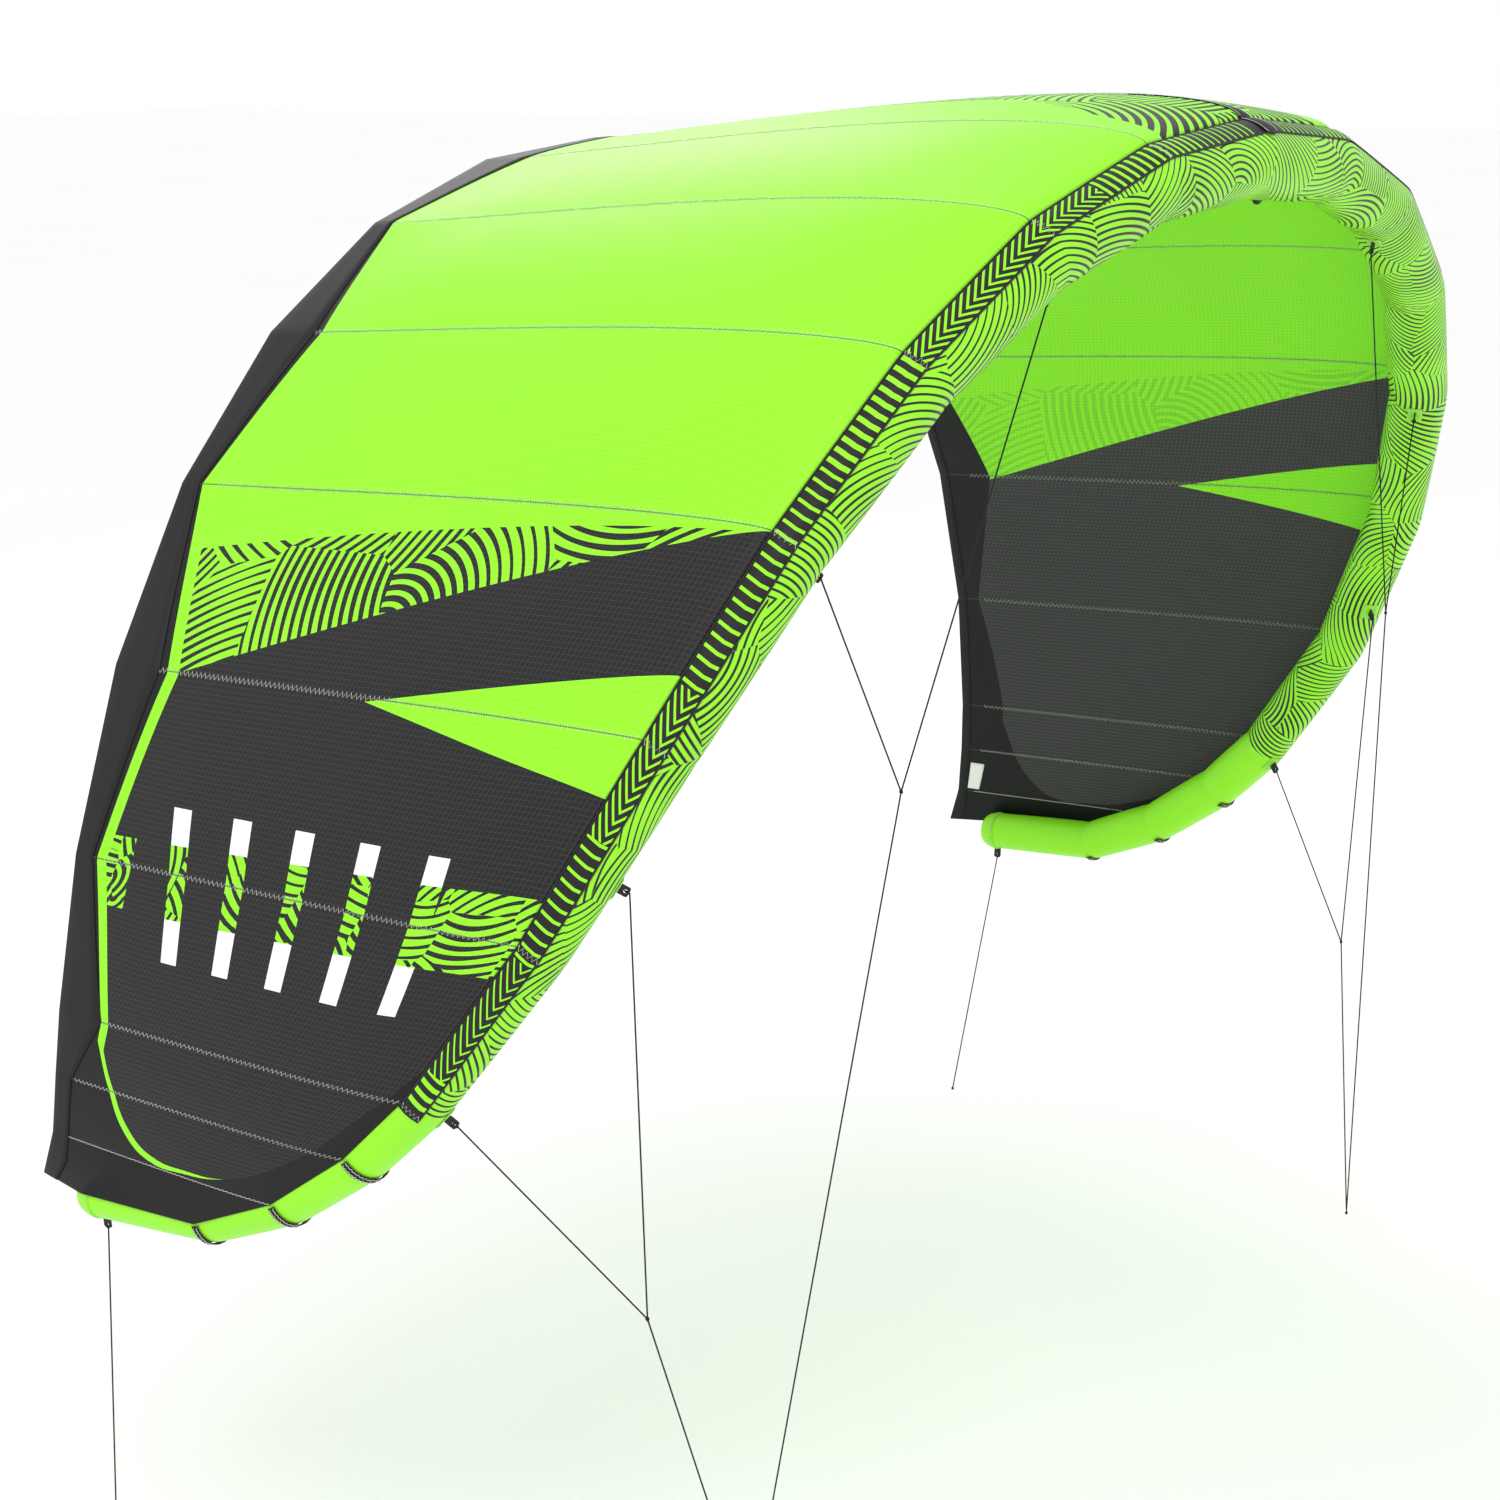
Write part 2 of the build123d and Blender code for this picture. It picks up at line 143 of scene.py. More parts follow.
def noise(tree, scale, detail):
    """Soft clouds from 0 to 1 through the piece; a larger scale makes them smaller."""
    spot = add(tree, "ShaderNodeTexCoord", {}).outputs["Object"]
    return add(tree, "ShaderNodeTexNoise", {"Vector": spot, "Scale": scale, "Detail": detail}).outputs["Fac"]


def set_colour(tree, shader, colour):
    tree.links.new(colour, shader.inputs["Base Color"])


def set_bump(tree, shader, height, strength, depth):
    bump = add(tree, "ShaderNodeBump", {"Height": height, "Strength": strength, "Distance": depth})
    tree.links.new(bump.outputs["Normal"], shader.inputs["Normal"])


def cloudy_material(name, roughness, specular, scale, detail, low, high, bump=()):
    """A material that varies softly between two colours; bump is its strength and depth."""
    made, tree, shader = blank_material(name, roughness, specular)
    cloud = noise(tree, scale, detail)
    set_colour(tree, shader, mix_colour(tree, cloud, low, high))
    if bump:
        set_bump(tree, shader, cloud, *bump)
    return made, shader


floor_paint, shader = cloudy_material("floor_paint", 0.9, 0.1, 0.4, 2.0,
                                      (0.86, 0.86, 0.86), (0.89, 0.89, 0.89))
shader.inputs["Emission Color"].default_value = (1.0, 1.0, 1.0, 1.0)
shader.inputs["Emission Strength"].default_value = 0.10
floor_width, floor_gap = 120, 0.12
bpy.ops.object.select_all(action="DESELECT")
bpy.ops.mesh.primitive_plane_add(size=floor_width, location=(0, 0, 0))
floor = bpy.context.object
floor.name = "floor"
floor.data.transform(Matrix.Translation((0, 0, cad_box[0][2] - floor_gap)))
floor.data.materials.append(floor_paint)

# ---------------------------------------------------------------- bridle lines
# Braided polyethylene line, 3 mm thick, pulled straight by the pilot. On each side two Vs join
# the tube's tabs, a leg runs from each V to the front knot, and one back line leaves the tip.
line_paint, tree, shader = blank_material("braided_line", 0.75, 0.3)
spot = add(tree, "ShaderNodeTexCoord", {}).outputs["UV"]
across = add(tree, "ShaderNodeSeparateXYZ", {"Vector": spot}).outputs
plaits_along, plaits_round = 400.0, 8.0
along = calc(tree, "MULTIPLY", across["X"], plaits_along)
around = calc(tree, "MULTIPLY", across["Y"], plaits_round)
lays = [calc(tree, "PINGPONG", calc(tree, way, along, around), 0.5) for way in ("ADD", "SUBTRACT")]
plait = calc(tree, "MULTIPLY", *lays)
set_colour(tree, shader, mix_colour(tree, calc(tree, "MULTIPLY", plait, 4.0),
                                    (0.006, 0.006, 0.007), (0.035, 0.035, 0.037)))
set_bump(tree, shader, plait, 0.5, 0.0004)

line_diameter = 0.003
knot_reach = 0.0022         # line end to knot centre
outer_knot, inner_knot = Vector((1.382, 0.385, -1.883)), Vector((0.987, 0.126, -1.012))
front_knot, back_knot = Vector((1.233, 0.284, -2.488)), Vector((1.525, 1.531, -2.488))
line_starts = {"outer_rear": (1.5554, 0.6441, -1.5398), "outer_front": (1.4458, 0.3593, -1.1194),
               "inner_rear": (1.1790, 0.1594, -0.6238), "inner_front": (0.6602, 0.0392, -0.2182),
               "back": (1.5924, 1.4411, -1.8694)}


def on_side(point, side):
    return Vector((point[0] * side, point[1], point[2]))


def curve_piece(name, points, radius, paint, cyclic=False, sides=2):
    """A round line or ring along a smooth spline with these control points."""
    data = bpy.data.curves.new(name, "CURVE")
    data.dimensions, data.bevel_depth, data.bevel_resolution = "3D", radius, sides
    data.use_fill_caps, data.resolution_u = not cyclic, 6
    spline = data.splines.new("NURBS")
    spline.points.add(len(points) - 1)
    for made, point in zip(spline.points, points):
        made.co = (*point, 1.0)
    spline.use_cyclic_u = cyclic
    spline.order_u = 3
    spline.use_endpoint_u = not cyclic
    data.materials.append(paint)
    return new_object(name, data)


def bridle_line(name, node, body, start, stop, cut_start, cut_stop, side):
    """One taut line between two points, its ends cut back from them."""
    start, stop = on_side(start, side), on_side(stop, side)
    ahead = (stop - start).normalized()
    first, last = start + ahead * cut_start, stop - ahead * cut_stop
    piece = curve_piece(name, [first, (first + last) / 2, last], line_diameter / 2, line_paint)
    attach(piece, body)
    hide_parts(node)


def knot(name, node, body, centre, side):
    """A stopper knot: the line laid over itself in a small three-lobed ring."""
    turns = [math.radians(15 * i) for i in range(24)]
    wide, lobe, high = 0.0022, 0.0010, 0.0014
    ring = [on_side(centre, side) + Vector(((wide + lobe * math.cos(3 * t)) * math.cos(2 * t),
                                            high * math.sin(3 * t),
                                            (wide + lobe * math.cos(3 * t)) * math.sin(2 * t)))
            for t in turns]
    piece = curve_piece(name, ring, 0.0015, line_paint, cyclic=True)
    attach(piece, body)
    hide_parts(node)
    return piece


sides = {"left": -1, "right": 1}
open_end = 0.008            # the outer leg stops this far short of the front knot's centre
for hand, side in sides.items():
    inner, outer, front, back = [
        knot(f"knot_{place}_{hand}", f"{place}_knot_{hand}", f"{body}_{hand}", centre, side)
        for place, body, centre in (
            ("inner", "bridle_inner_v", inner_knot), ("outer", "bridle_outer_v", outer_knot),
            ("front", "bridle_inner_lower", front_knot), ("back", "back_line_group", back_knot))]
    for pair, end, end_piece in (("inner", inner_knot, inner), ("outer", outer_knot, outer)):
        for leg in (f"{pair}_front", f"{pair}_rear"):
            bridle_line(f"line_{leg}_{hand}", f"bridle_{leg}_{hand}", f"bridle_{pair}_v_{hand}",
                        line_starts[leg], end, 0.0, knot_reach, side)
    bridle_line(f"line_inner_leg_{hand}", f"bridle_inner_leg_{hand}", f"bridle_inner_lower_{hand}",
                inner_knot, front_knot, knot_reach, knot_reach, side)
    bridle_line(f"line_outer_leg_{hand}", f"bridle_outer_leg_{hand}", f"bridle_outer_lower_{hand}",
                outer_knot, front_knot, knot_reach, open_end, side)
    bridle_line(f"line_back_{hand}", f"back_line_{hand}", f"back_line_group_{hand}", line_starts["back"],
                back_knot, 0.0, knot_reach, side)

# ---------------------------------------------------------------- leading edge sleeve
# The inflated front tube: one long sleeve of heavy polyester cloth, sewn from straight pieces
# at twenty-one joints. It is widest at the middle, and narrows and sweeps back to the tips.
half_span, arch_height, arch_power = 1.6, 1.8, 2 / 2.23
joints = (0.0, 0.083, 0.181, 0.285, 0.395, 0.514, 0.642, 0.768, 0.832, 0.908, 0.983)
tube_end = 1.085
tube_radius, tube_radius_loss = 0.073, 0.026
swell = 0.0008              # how far a sewn piece bellies out between its joints
pinch = 0.0012              # how far a joint draws in


def tube_centre(s):
    t = math.radians(min(90.0, 90.0 * (1.45 * s - 0.45 * s ** 3)) if s < 1.04 else 90.0)
    return Vector((half_span * math.sin(t) ** arch_power, 1.125 * s ** 2 + 0.09 * s ** 4,
                   -arch_height * (1 - max(0.0, math.cos(t)) ** arch_power)))


def edge_point(s):
    centre = tube_centre(s)
    return Vector((centre.x, 1.492 + 0.082 * s ** 2, centre.z + 0.012))


def radius_at(s):
    return tube_radius - tube_radius_loss * s


known_axes = {}


def rib_axes(s):
    """Aft and outward, square to the tube, and along it, at a station of the right wing."""
    if s not in known_axes:
        before = tube_centre(abs(s - 0.004))
        if s < 0.004:
            before.x = -before.x
        along = (tube_centre(s + 0.004) - before).normalized()
        aft = edge_point(s) - tube_centre(s)
        aft = (aft - along * aft.dot(along)).normalized()
        outward = along.cross(aft)
        if outward.z < 0 and s < 0.3 or outward.x < 0 and s >= 0.3:
            outward.negate()
        known_axes[s] = (aft, outward, along)
    return known_axes[s]


def joint_point(s, degrees, height):
    aft, outward, _ = rib_axes(s)
    turn = math.radians(degrees)
    return tube_centre(s) + (aft * math.cos(turn) + outward * math.sin(turn)) * (radius_at(s) + height)


def span_of(s, stations):
    """The two stations around s, and how far s is between them."""
    i = max(k for k in range(len(stations) - 1) if stations[k] <= s + 1e-9)
    return stations[i], stations[i + 1], (s - stations[i]) / (stations[i + 1] - stations[i])


def tube_point(s, degrees, height):
    """A point at a height over the sleeve; a negative s is on the left wing."""
    a, b, share = span_of(abs(s), joints + (tube_end,))
    share = min(max(share, 0.0), 1.0)
    edge = min(share * (b - a), (1 - share) * (b - a)) * 3.0
    if a == 0.0 and share < 0.5 or b == tube_end and share > 0.5:
        edge = 1.0
    ripple = 1 + 0.5 * math.cos(math.radians(degrees * 22))
    lift = swell * math.sin(math.pi * share) - pinch * ripple * math.exp(-(edge / 0.009) ** 2)
    p = joint_point(a, degrees, height + lift).lerp(joint_point(b, degrees, height + lift), share)
    return Vector((p.x if s >= 0 else -p.x, p.y, p.z))


def steps_between(stations, shares):
    """Signed stations from the left tip to the right, each span divided at these shares."""
    right = [a + (b - a) * q for a, b in zip(stations, stations[1:]) for q in shares] + [stations[-1]]
    return [-s for s in right[:0:-1]] + right


def surface(name, rows, maps, face_to, wrap=False, close=False):
    """A mesh of four-sided faces through rows of points. maps gives each UV map its (i, j) -> (u, v)."""
    mesh = bmesh.new()
    grid = [[mesh.verts.new(p) for p in row] for row in rows]
    layers = {key: mesh.loops.layers.uv.new(key) for key in maps}
    wide = len(rows[0])
    corners = {}
    for i in range(len(rows) - 1):
        for j in range(wide if wrap else wide - 1):
            spots = ((i, j), (i + 1, j), (i + 1, j + 1), (i, j + 1))
            face = mesh.faces.new([grid[a][b % wide] for a, b in spots])
            face.smooth = True
            corners[face] = spots
            for loop, spot in zip(face.loops, spots):
                for key, layer in layers.items():
                    loop[layer].uv = maps[key](*spot)
    if close:
        for row, i in ((grid[0], 0), (grid[-1], len(rows) - 1)):
            face = mesh.faces.new(row)
            for j, loop in enumerate(face.loops):
                for key, layer in layers.items():
                    loop[layer].uv = maps[key](i, j)
        bmesh.ops.recalc_face_normals(mesh, faces=mesh.faces)
    else:
        mesh.normal_update()
        middle = grid[len(rows) // 2][min(2, wide - 1)].link_faces[0]
        if middle.normal.dot(Vector(face_to)) < 0:
            bmesh.ops.reverse_faces(mesh, faces=mesh.faces)
    data = bpy.data.meshes.new(name)
    mesh.to_mesh(data)
    mesh.free()
    return new_object(name, data)


def sew_on(piece, paint, slot, *nodes):
    """A finished piece of the wing: its material and the CAD nodes it stands for. slot is not used."""
    piece.data.materials.append(paint)
    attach(piece, "wing")
    if nodes:
        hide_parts(*nodes)


def apply_modifier(piece, kind, **settings):
    select_only(piece)
    made = piece.modifiers.new(kind.lower(), kind)
    for key, value in settings.items():
        setattr(made, key, value)
    bpy.ops.object.modifier_apply(modifier=made.name)


def lengths(points):
    """How far along their line each of these points is from the middle one."""
    run = [0.0]
    for a, b in zip(points, points[1:]):
        run.append(run[-1] + (b - a).length)
    return [r - run[len(run) // 2] for r in run]


tube_steps = steps_between(joints + (tube_end,),
                           (0, 0.015, 0.05, 0.12, 0.25, 0.4, 0.6, 0.75, 0.88, 0.95, 0.985))
run = lengths([tube_point(s, 180, 0) for s in tube_steps])


def lime_and_dark(tree, dark_share, lime=(0.30, 0.86, 0.022), dark=(0.019, 0.019, 0.020)):
    """Lime cloth where dark_share is 0 and charcoal where it is 1, both a little uneven."""
    fade = noise(tree, 3.0, 3.0)
    pale = mix_colour(tree, fade, [0.93 * c for c in lime], [min(1.0, 1.07 * c) for c in lime])
    deep = mix_colour(tree, fade, [0.85 * c for c in dark], [1.15 * c for c in dark])
    return mix_colour(tree, dark_share, pale, deep)


def vectors(tree, operation, *values):
    return add(tree, "ShaderNodeVectorMath", dict(enumerate(values)), operation=operation)


def axes_of(tree, vector):
    return add(tree, "ShaderNodeSeparateXYZ", {"Vector": vector}).outputs


def arc_lines(tree, metres, cell, pitch, share, seed):
    """Printed patches of curved parallel lines: each cell has its own centre to bend round."""
    place = vectors(tree, "ADD", metres, (seed, seed * 1.7, 0.0)).outputs[0]
    small = add(tree, "ShaderNodeVectorMath", {0: place, "Scale": 1 / cell}, operation="SCALE").outputs[0]
    cells = add(tree, "ShaderNodeTexVoronoi", {"Vector": small, "Scale": 1.0, "Randomness": 0.75},
                voronoi_dimensions="2D")
    chance = add(tree, "ShaderNodeSeparateColor", {"Color": cells.outputs["Color"]}).outputs
    turn = calc(tree, "MULTIPLY", chance["Red"], 2 * math.pi)
    away = calc(tree, "MULTIPLY_ADD", chance["Green"], 1.6, 0.7)
    centre = add(tree, "ShaderNodeCombineXYZ", {
        "X": calc(tree, "MULTIPLY", calc(tree, "COSINE", turn), away),
        "Y": calc(tree, "MULTIPLY", calc(tree, "SINE", turn), away)}).outputs[0]
    from_cell = vectors(tree, "SUBTRACT", small, cells.outputs["Position"]).outputs[0]
    reach = vectors(tree, "DISTANCE", from_cell, centre).outputs["Value"]
    waves = calc(tree, "FRACT", calc(tree, "MULTIPLY", reach, cell / pitch))
    swing = add(tree, "ShaderNodeTexNoise", {"Vector": small, "Scale": 1.3, "Detail": 0.0}).outputs["Fac"]
    thick = calc(tree, "MULTIPLY", calc(tree, "MULTIPLY_ADD", swing, 1.4, 0.3), share)
    return calc(tree, "LESS_THAN", waves, thick)


def cloth_bump(tree, shader, metres, thread, depth, extra=None):
    """The over-and-under of a plain weave, with a raised grid added where there is one."""
    waves = [calc(tree, "SINE", calc(tree, "MULTIPLY", axes_of(tree, metres)[way], 2 * math.pi / thread))
             for way in ("X", "Y")]
    height = calc(tree, "MULTIPLY_ADD", calc(tree, "MULTIPLY", *waves), 0.25, 0.5)
    if extra is not None:
        height = calc(tree, "ADD", height, extra)
    set_bump(tree, shader, height, 0.35, depth)


def both_maps(tree):
    """The piece's two UV maps: station and share on one, metres of cloth on the other."""
    place, metres = [add(tree, "ShaderNodeUVMap", {}, uv_map=name).outputs["UV"]
                     for name in ("place", "metres")]
    axes = axes_of(tree, place)
    return axes["X"], axes["Y"], metres


sleeve_paint, tree, shader = blank_material("lime_sleeve_cloth", 0.36, 0.30)
station, _, metres = both_maps(tree)
print_end = 0.765           # beyond this station the tube is plain
heavy_thread, light_thread, weave_depth = 0.0016, 0.0014, 0.0002
lines = arc_lines(tree, metres, 0.15, 0.0125, 0.34, 3.0)
printed = calc(tree, "LESS_THAN", station, print_end)
set_colour(tree, shader, lime_and_dark(tree, calc(tree, "MULTIPLY", lines, printed), (0.30, 0.84, 0.020)))
cloth_bump(tree, shader, metres, heavy_thread, weave_depth)

around = 56
sleeve = surface("leading_edge_sleeve",
                 [[tube_point(s, 360 * j / around, 0) for j in range(around)] for s in tube_steps],
                 {"place": lambda i, j: (abs(tube_steps[i]), j / around),
                  "metres": lambda i, j: (run[i], 2 * math.pi * j / around * radius_at(abs(tube_steps[i])))},
                 (0, 0, 1), wrap=True)
middle_row = len(tube_steps) // 2 * around
outward = sleeve.data.vertices[middle_row].co - tube_centre(0)
normal = next(p.normal for p in sleeve.data.polygons if middle_row in p.vertices)
if normal.dot(outward) < 0:
    sleeve.data.flip_normals()
apply_modifier(sleeve, "SOLIDIFY", thickness=0.0012, offset=-1.0)
sew_on(sleeve, sleeve_paint, "sleeve_cloth",
       *[f"leading_edge_sleeve_{hand}_{part}" for hand in sides for part in ("inner", "middle", "tip")])

# ---------------------------------------------------------------- leading edge bladder
# A clear polyurethane tube inside the sleeve holds the air. It runs from tip to tip in one piece.
film_paint, _ = cloudy_material("bladder_film", 0.25, 0.5, 40.0, 3.0,
                                (0.62, 0.63, 0.62), (0.78, 0.79, 0.78), (0.3, 0.001))
bladder_end, bladder_gap = 1.08, 0.003
bladder_steps = [s for s in tube_steps if abs(s) < bladder_end]
bladder = surface("leading_edge_bladder_film",
                  [[tube_point(s, 12 * j, -bladder_gap) for j in range(30)] for s in bladder_steps],
                  {"place": lambda i, j: (bladder_steps[i], j / 30)}, (0, 0, 1), wrap=True, close=True)
sew_on(bladder, film_paint, "bladder_film", "leading_edge_bladder")

# ---------------------------------------------------------------- leading edge band
# A second layer of dark cloth over the top of the tube, printed with lime bars and sewn down
# along both edges; the front of the canopy is sewn in at its rear edge.
band_from, band_to = 92.0, 136.0


def both(tree, *masks):
    made = masks[0]
    for mask in masks[1:]:
        made = calc(tree, "MULTIPLY", made, mask)
    return made


band_paint, tree, shader = blank_material("printed_edge_cloth", 0.45, 0.18)
station, turned, metres = both_maps(tree)
axes = axes_of(tree, metres)
zone = add(tree, "ShaderNodeTexVoronoi", {"W": calc(tree, "MULTIPLY", axes["X"], 3.6), "Scale": 1.0},
           voronoi_dimensions="1D")
chance = add(tree, "ShaderNodeSeparateColor", {"Color": zone.outputs["Color"]}).outputs
slant = calc(tree, "MULTIPLY_ADD", calc(tree, "GREATER_THAN", chance["Red"], 0.62), 1.5, 0.12)
band_middle, bar_pitch = 0.030, 0.021
peak = calc(tree, "ABSOLUTE", calc(tree, "SUBTRACT", axes["Y"], band_middle))
bars = calc(tree, "MULTIPLY_ADD", peak, slant, axes["X"])
bars = calc(tree, "FRACT", calc(tree, "DIVIDE", bars, bar_pitch))
wide = calc(tree, "MULTIPLY_ADD", chance["Green"], 0.34, 0.18)
bars = calc(tree, "LESS_THAN", bars, wide)
edges = calc(tree, "LESS_THAN", calc(tree, "ABSOLUTE", calc(tree, "SUBTRACT", turned, 0.5)), 0.44)
lime_here = both(tree, bars, calc(tree, "LESS_THAN", station, print_end),
                 calc(tree, "GREATER_THAN", station, 0.012), edges)
set_colour(tree, shader, lime_and_dark(tree, calc(tree, "SUBTRACT", 1.0, lime_here)))
cloth_bump(tree, shader, metres, heavy_thread, weave_depth)
band_end = 0.772
band_steps = [s for s in tube_steps if abs(s) < band_end]
band_run = run[(len(tube_steps) - len(band_steps)) // 2:]
band_angles = [band_from + (band_to - band_from) * j / 12 for j in range(13)]
edge_band = surface("leading_edge_band",
                    [[tube_point(s, a, 0.0009) for a in band_angles] for s in band_steps],
                    {"place": lambda i, j: (abs(band_steps[i]), j / 12),
                     "metres": lambda i, j: (abs(band_run[i]), math.radians((band_to - band_from) * j / 12)
                                             * radius_at(abs(band_steps[i])))}, (0, 0, 1))
apply_modifier(edge_band, "SOLIDIFY", thickness=0.0008, offset=0.0)
sew_on(edge_band, band_paint, "dark_cloth")

# ---------------------------------------------------------------- canopy
# One curved skin of ripstop polyester, cut in panels from rib line to rib line and sewn into a
# single sheet. Its front edge is sewn to the tube, and its rear edge runs straight between ribs.
camber, camber_loss = 0.064, 0.050
panel_ends = joints[:-1] + (tube_end,)
belly = 0.004               # how far a panel fills between its seams
tip_gap, tip_corner_aft = 0.06, 0.012


def smooth(x, low, high):
    x = min(max((x - low) / (high - low), 0.0), 1.0)
    return x * x * (3 - 2 * x)


def rib_point(s, share, height):
    start = joint_point(s, 90, 0.0003)
    chord = edge_point(s) - start
    outward = rib_axes(s)[1]
    up = (outward - chord * (outward.dot(chord) / chord.length_squared)).normalized()
    rise = (camber - camber_loss * min(s, 1.0)) * chord.length * 1.829 * share ** 0.56 * (1 - share) ** 1.39
    return start + chord * share + up * (rise + height)


def tip_point(share, height):
    """The outermost edge: along the outside of the tube, then in to the rear corner."""
    start, stop = tube_centre(joints[-1]), tube_centre(tube_end).y
    corner = edge_point(1.0) + Vector((0, tip_corner_aft, 0))
    stop = (stop - start.y) / (corner.y - start.y)
    first, last = radius_at(joints[-1]), radius_at(tube_end)
    radius = first + (last - first) * min(share / stop, 1.0)
    bulge = radius * min(1.0, (1 - share) / (1 - stop))
    p = start.lerp(corner, share)
    return Vector((half_span + bulge + height + radius * tip_gap, p.y, p.z))


def cloth_point(s, share, height):
    """A point over the cloth's lower face, at a station and a share of the chord."""
    a, b, part = span_of(abs(s), panel_ends)
    share = min(max(share, 0.0), 1.0)
    part = min(max(part, 0.0), 1.0)
    first = rib_point(a, share, height)
    if b == tube_end:
        p = first.lerp(tip_point(share, height), part)
    else:
        p = first.lerp(rib_point(b, share, height), part)
        loose = smooth(share, 0.02, 0.25) * (1 - smooth(share, 0.75, 1.0))
        p = p.lerp(rib_point(abs(s), share, height), loose)
        fill = belly * math.sin(math.pi * part) ** 0.7 * math.sin(math.pi * share) ** 0.5
        reach = min(part, 1 - part) * (b - a) * 3.0
        gather = 0.0007 * math.sin(share * 230 + 9 * math.sin(s * 40)) * math.exp(-(reach / 0.03) ** 2)
        p += rib_axes(a)[1] * (fill + gather * math.sin(math.pi * share))
    return Vector((p.x if s >= 0 else -p.x, p.y, p.z))


cloth_steps = steps_between(panel_ends, (0, 0.04, 0.11, 0.22, 0.36, 0.5, 0.64, 0.78, 0.89, 0.96))
cloth_shares = [(j / 72) ** 1.35 for j in range(73)]
chords = {s: (edge_point(min(s, 1.0)) - joint_point(min(s, 1.0), 90, 0)).length
          for s in map(abs, cloth_steps)}
cloth_run = lengths([cloth_point(s, 0.5, 0) for s in cloth_steps])


def through(tree, value, *points, handle="VECTOR"):
    """A line through these points, read at value; handle AUTO rounds it."""
    curve = add(tree, "ShaderNodeFloatCurve", {"Value": value, "Factor": 1.0})
    line = curve.mapping.curves[0]
    while len(line.points) < len(points):
        line.points.new(0.5, 0.5)
    for made, (x, y) in zip(line.points, points):
        made.location, made.handle_type = (x, y), handle
    curve.mapping.update()
    return curve.outputs["Value"]


def either(tree, *masks):
    made = masks[0]
    for mask in masks[1:]:
        made = calc(tree, "MAXIMUM", made, mask)
    return made


tip_border_start, rear_edging = 0.70, 0.024     # a station, and a share of the chord
bars_from, bars_to = 0.52, 1.18
ripstop_pitch, seam_half = 0.010, 0.0014


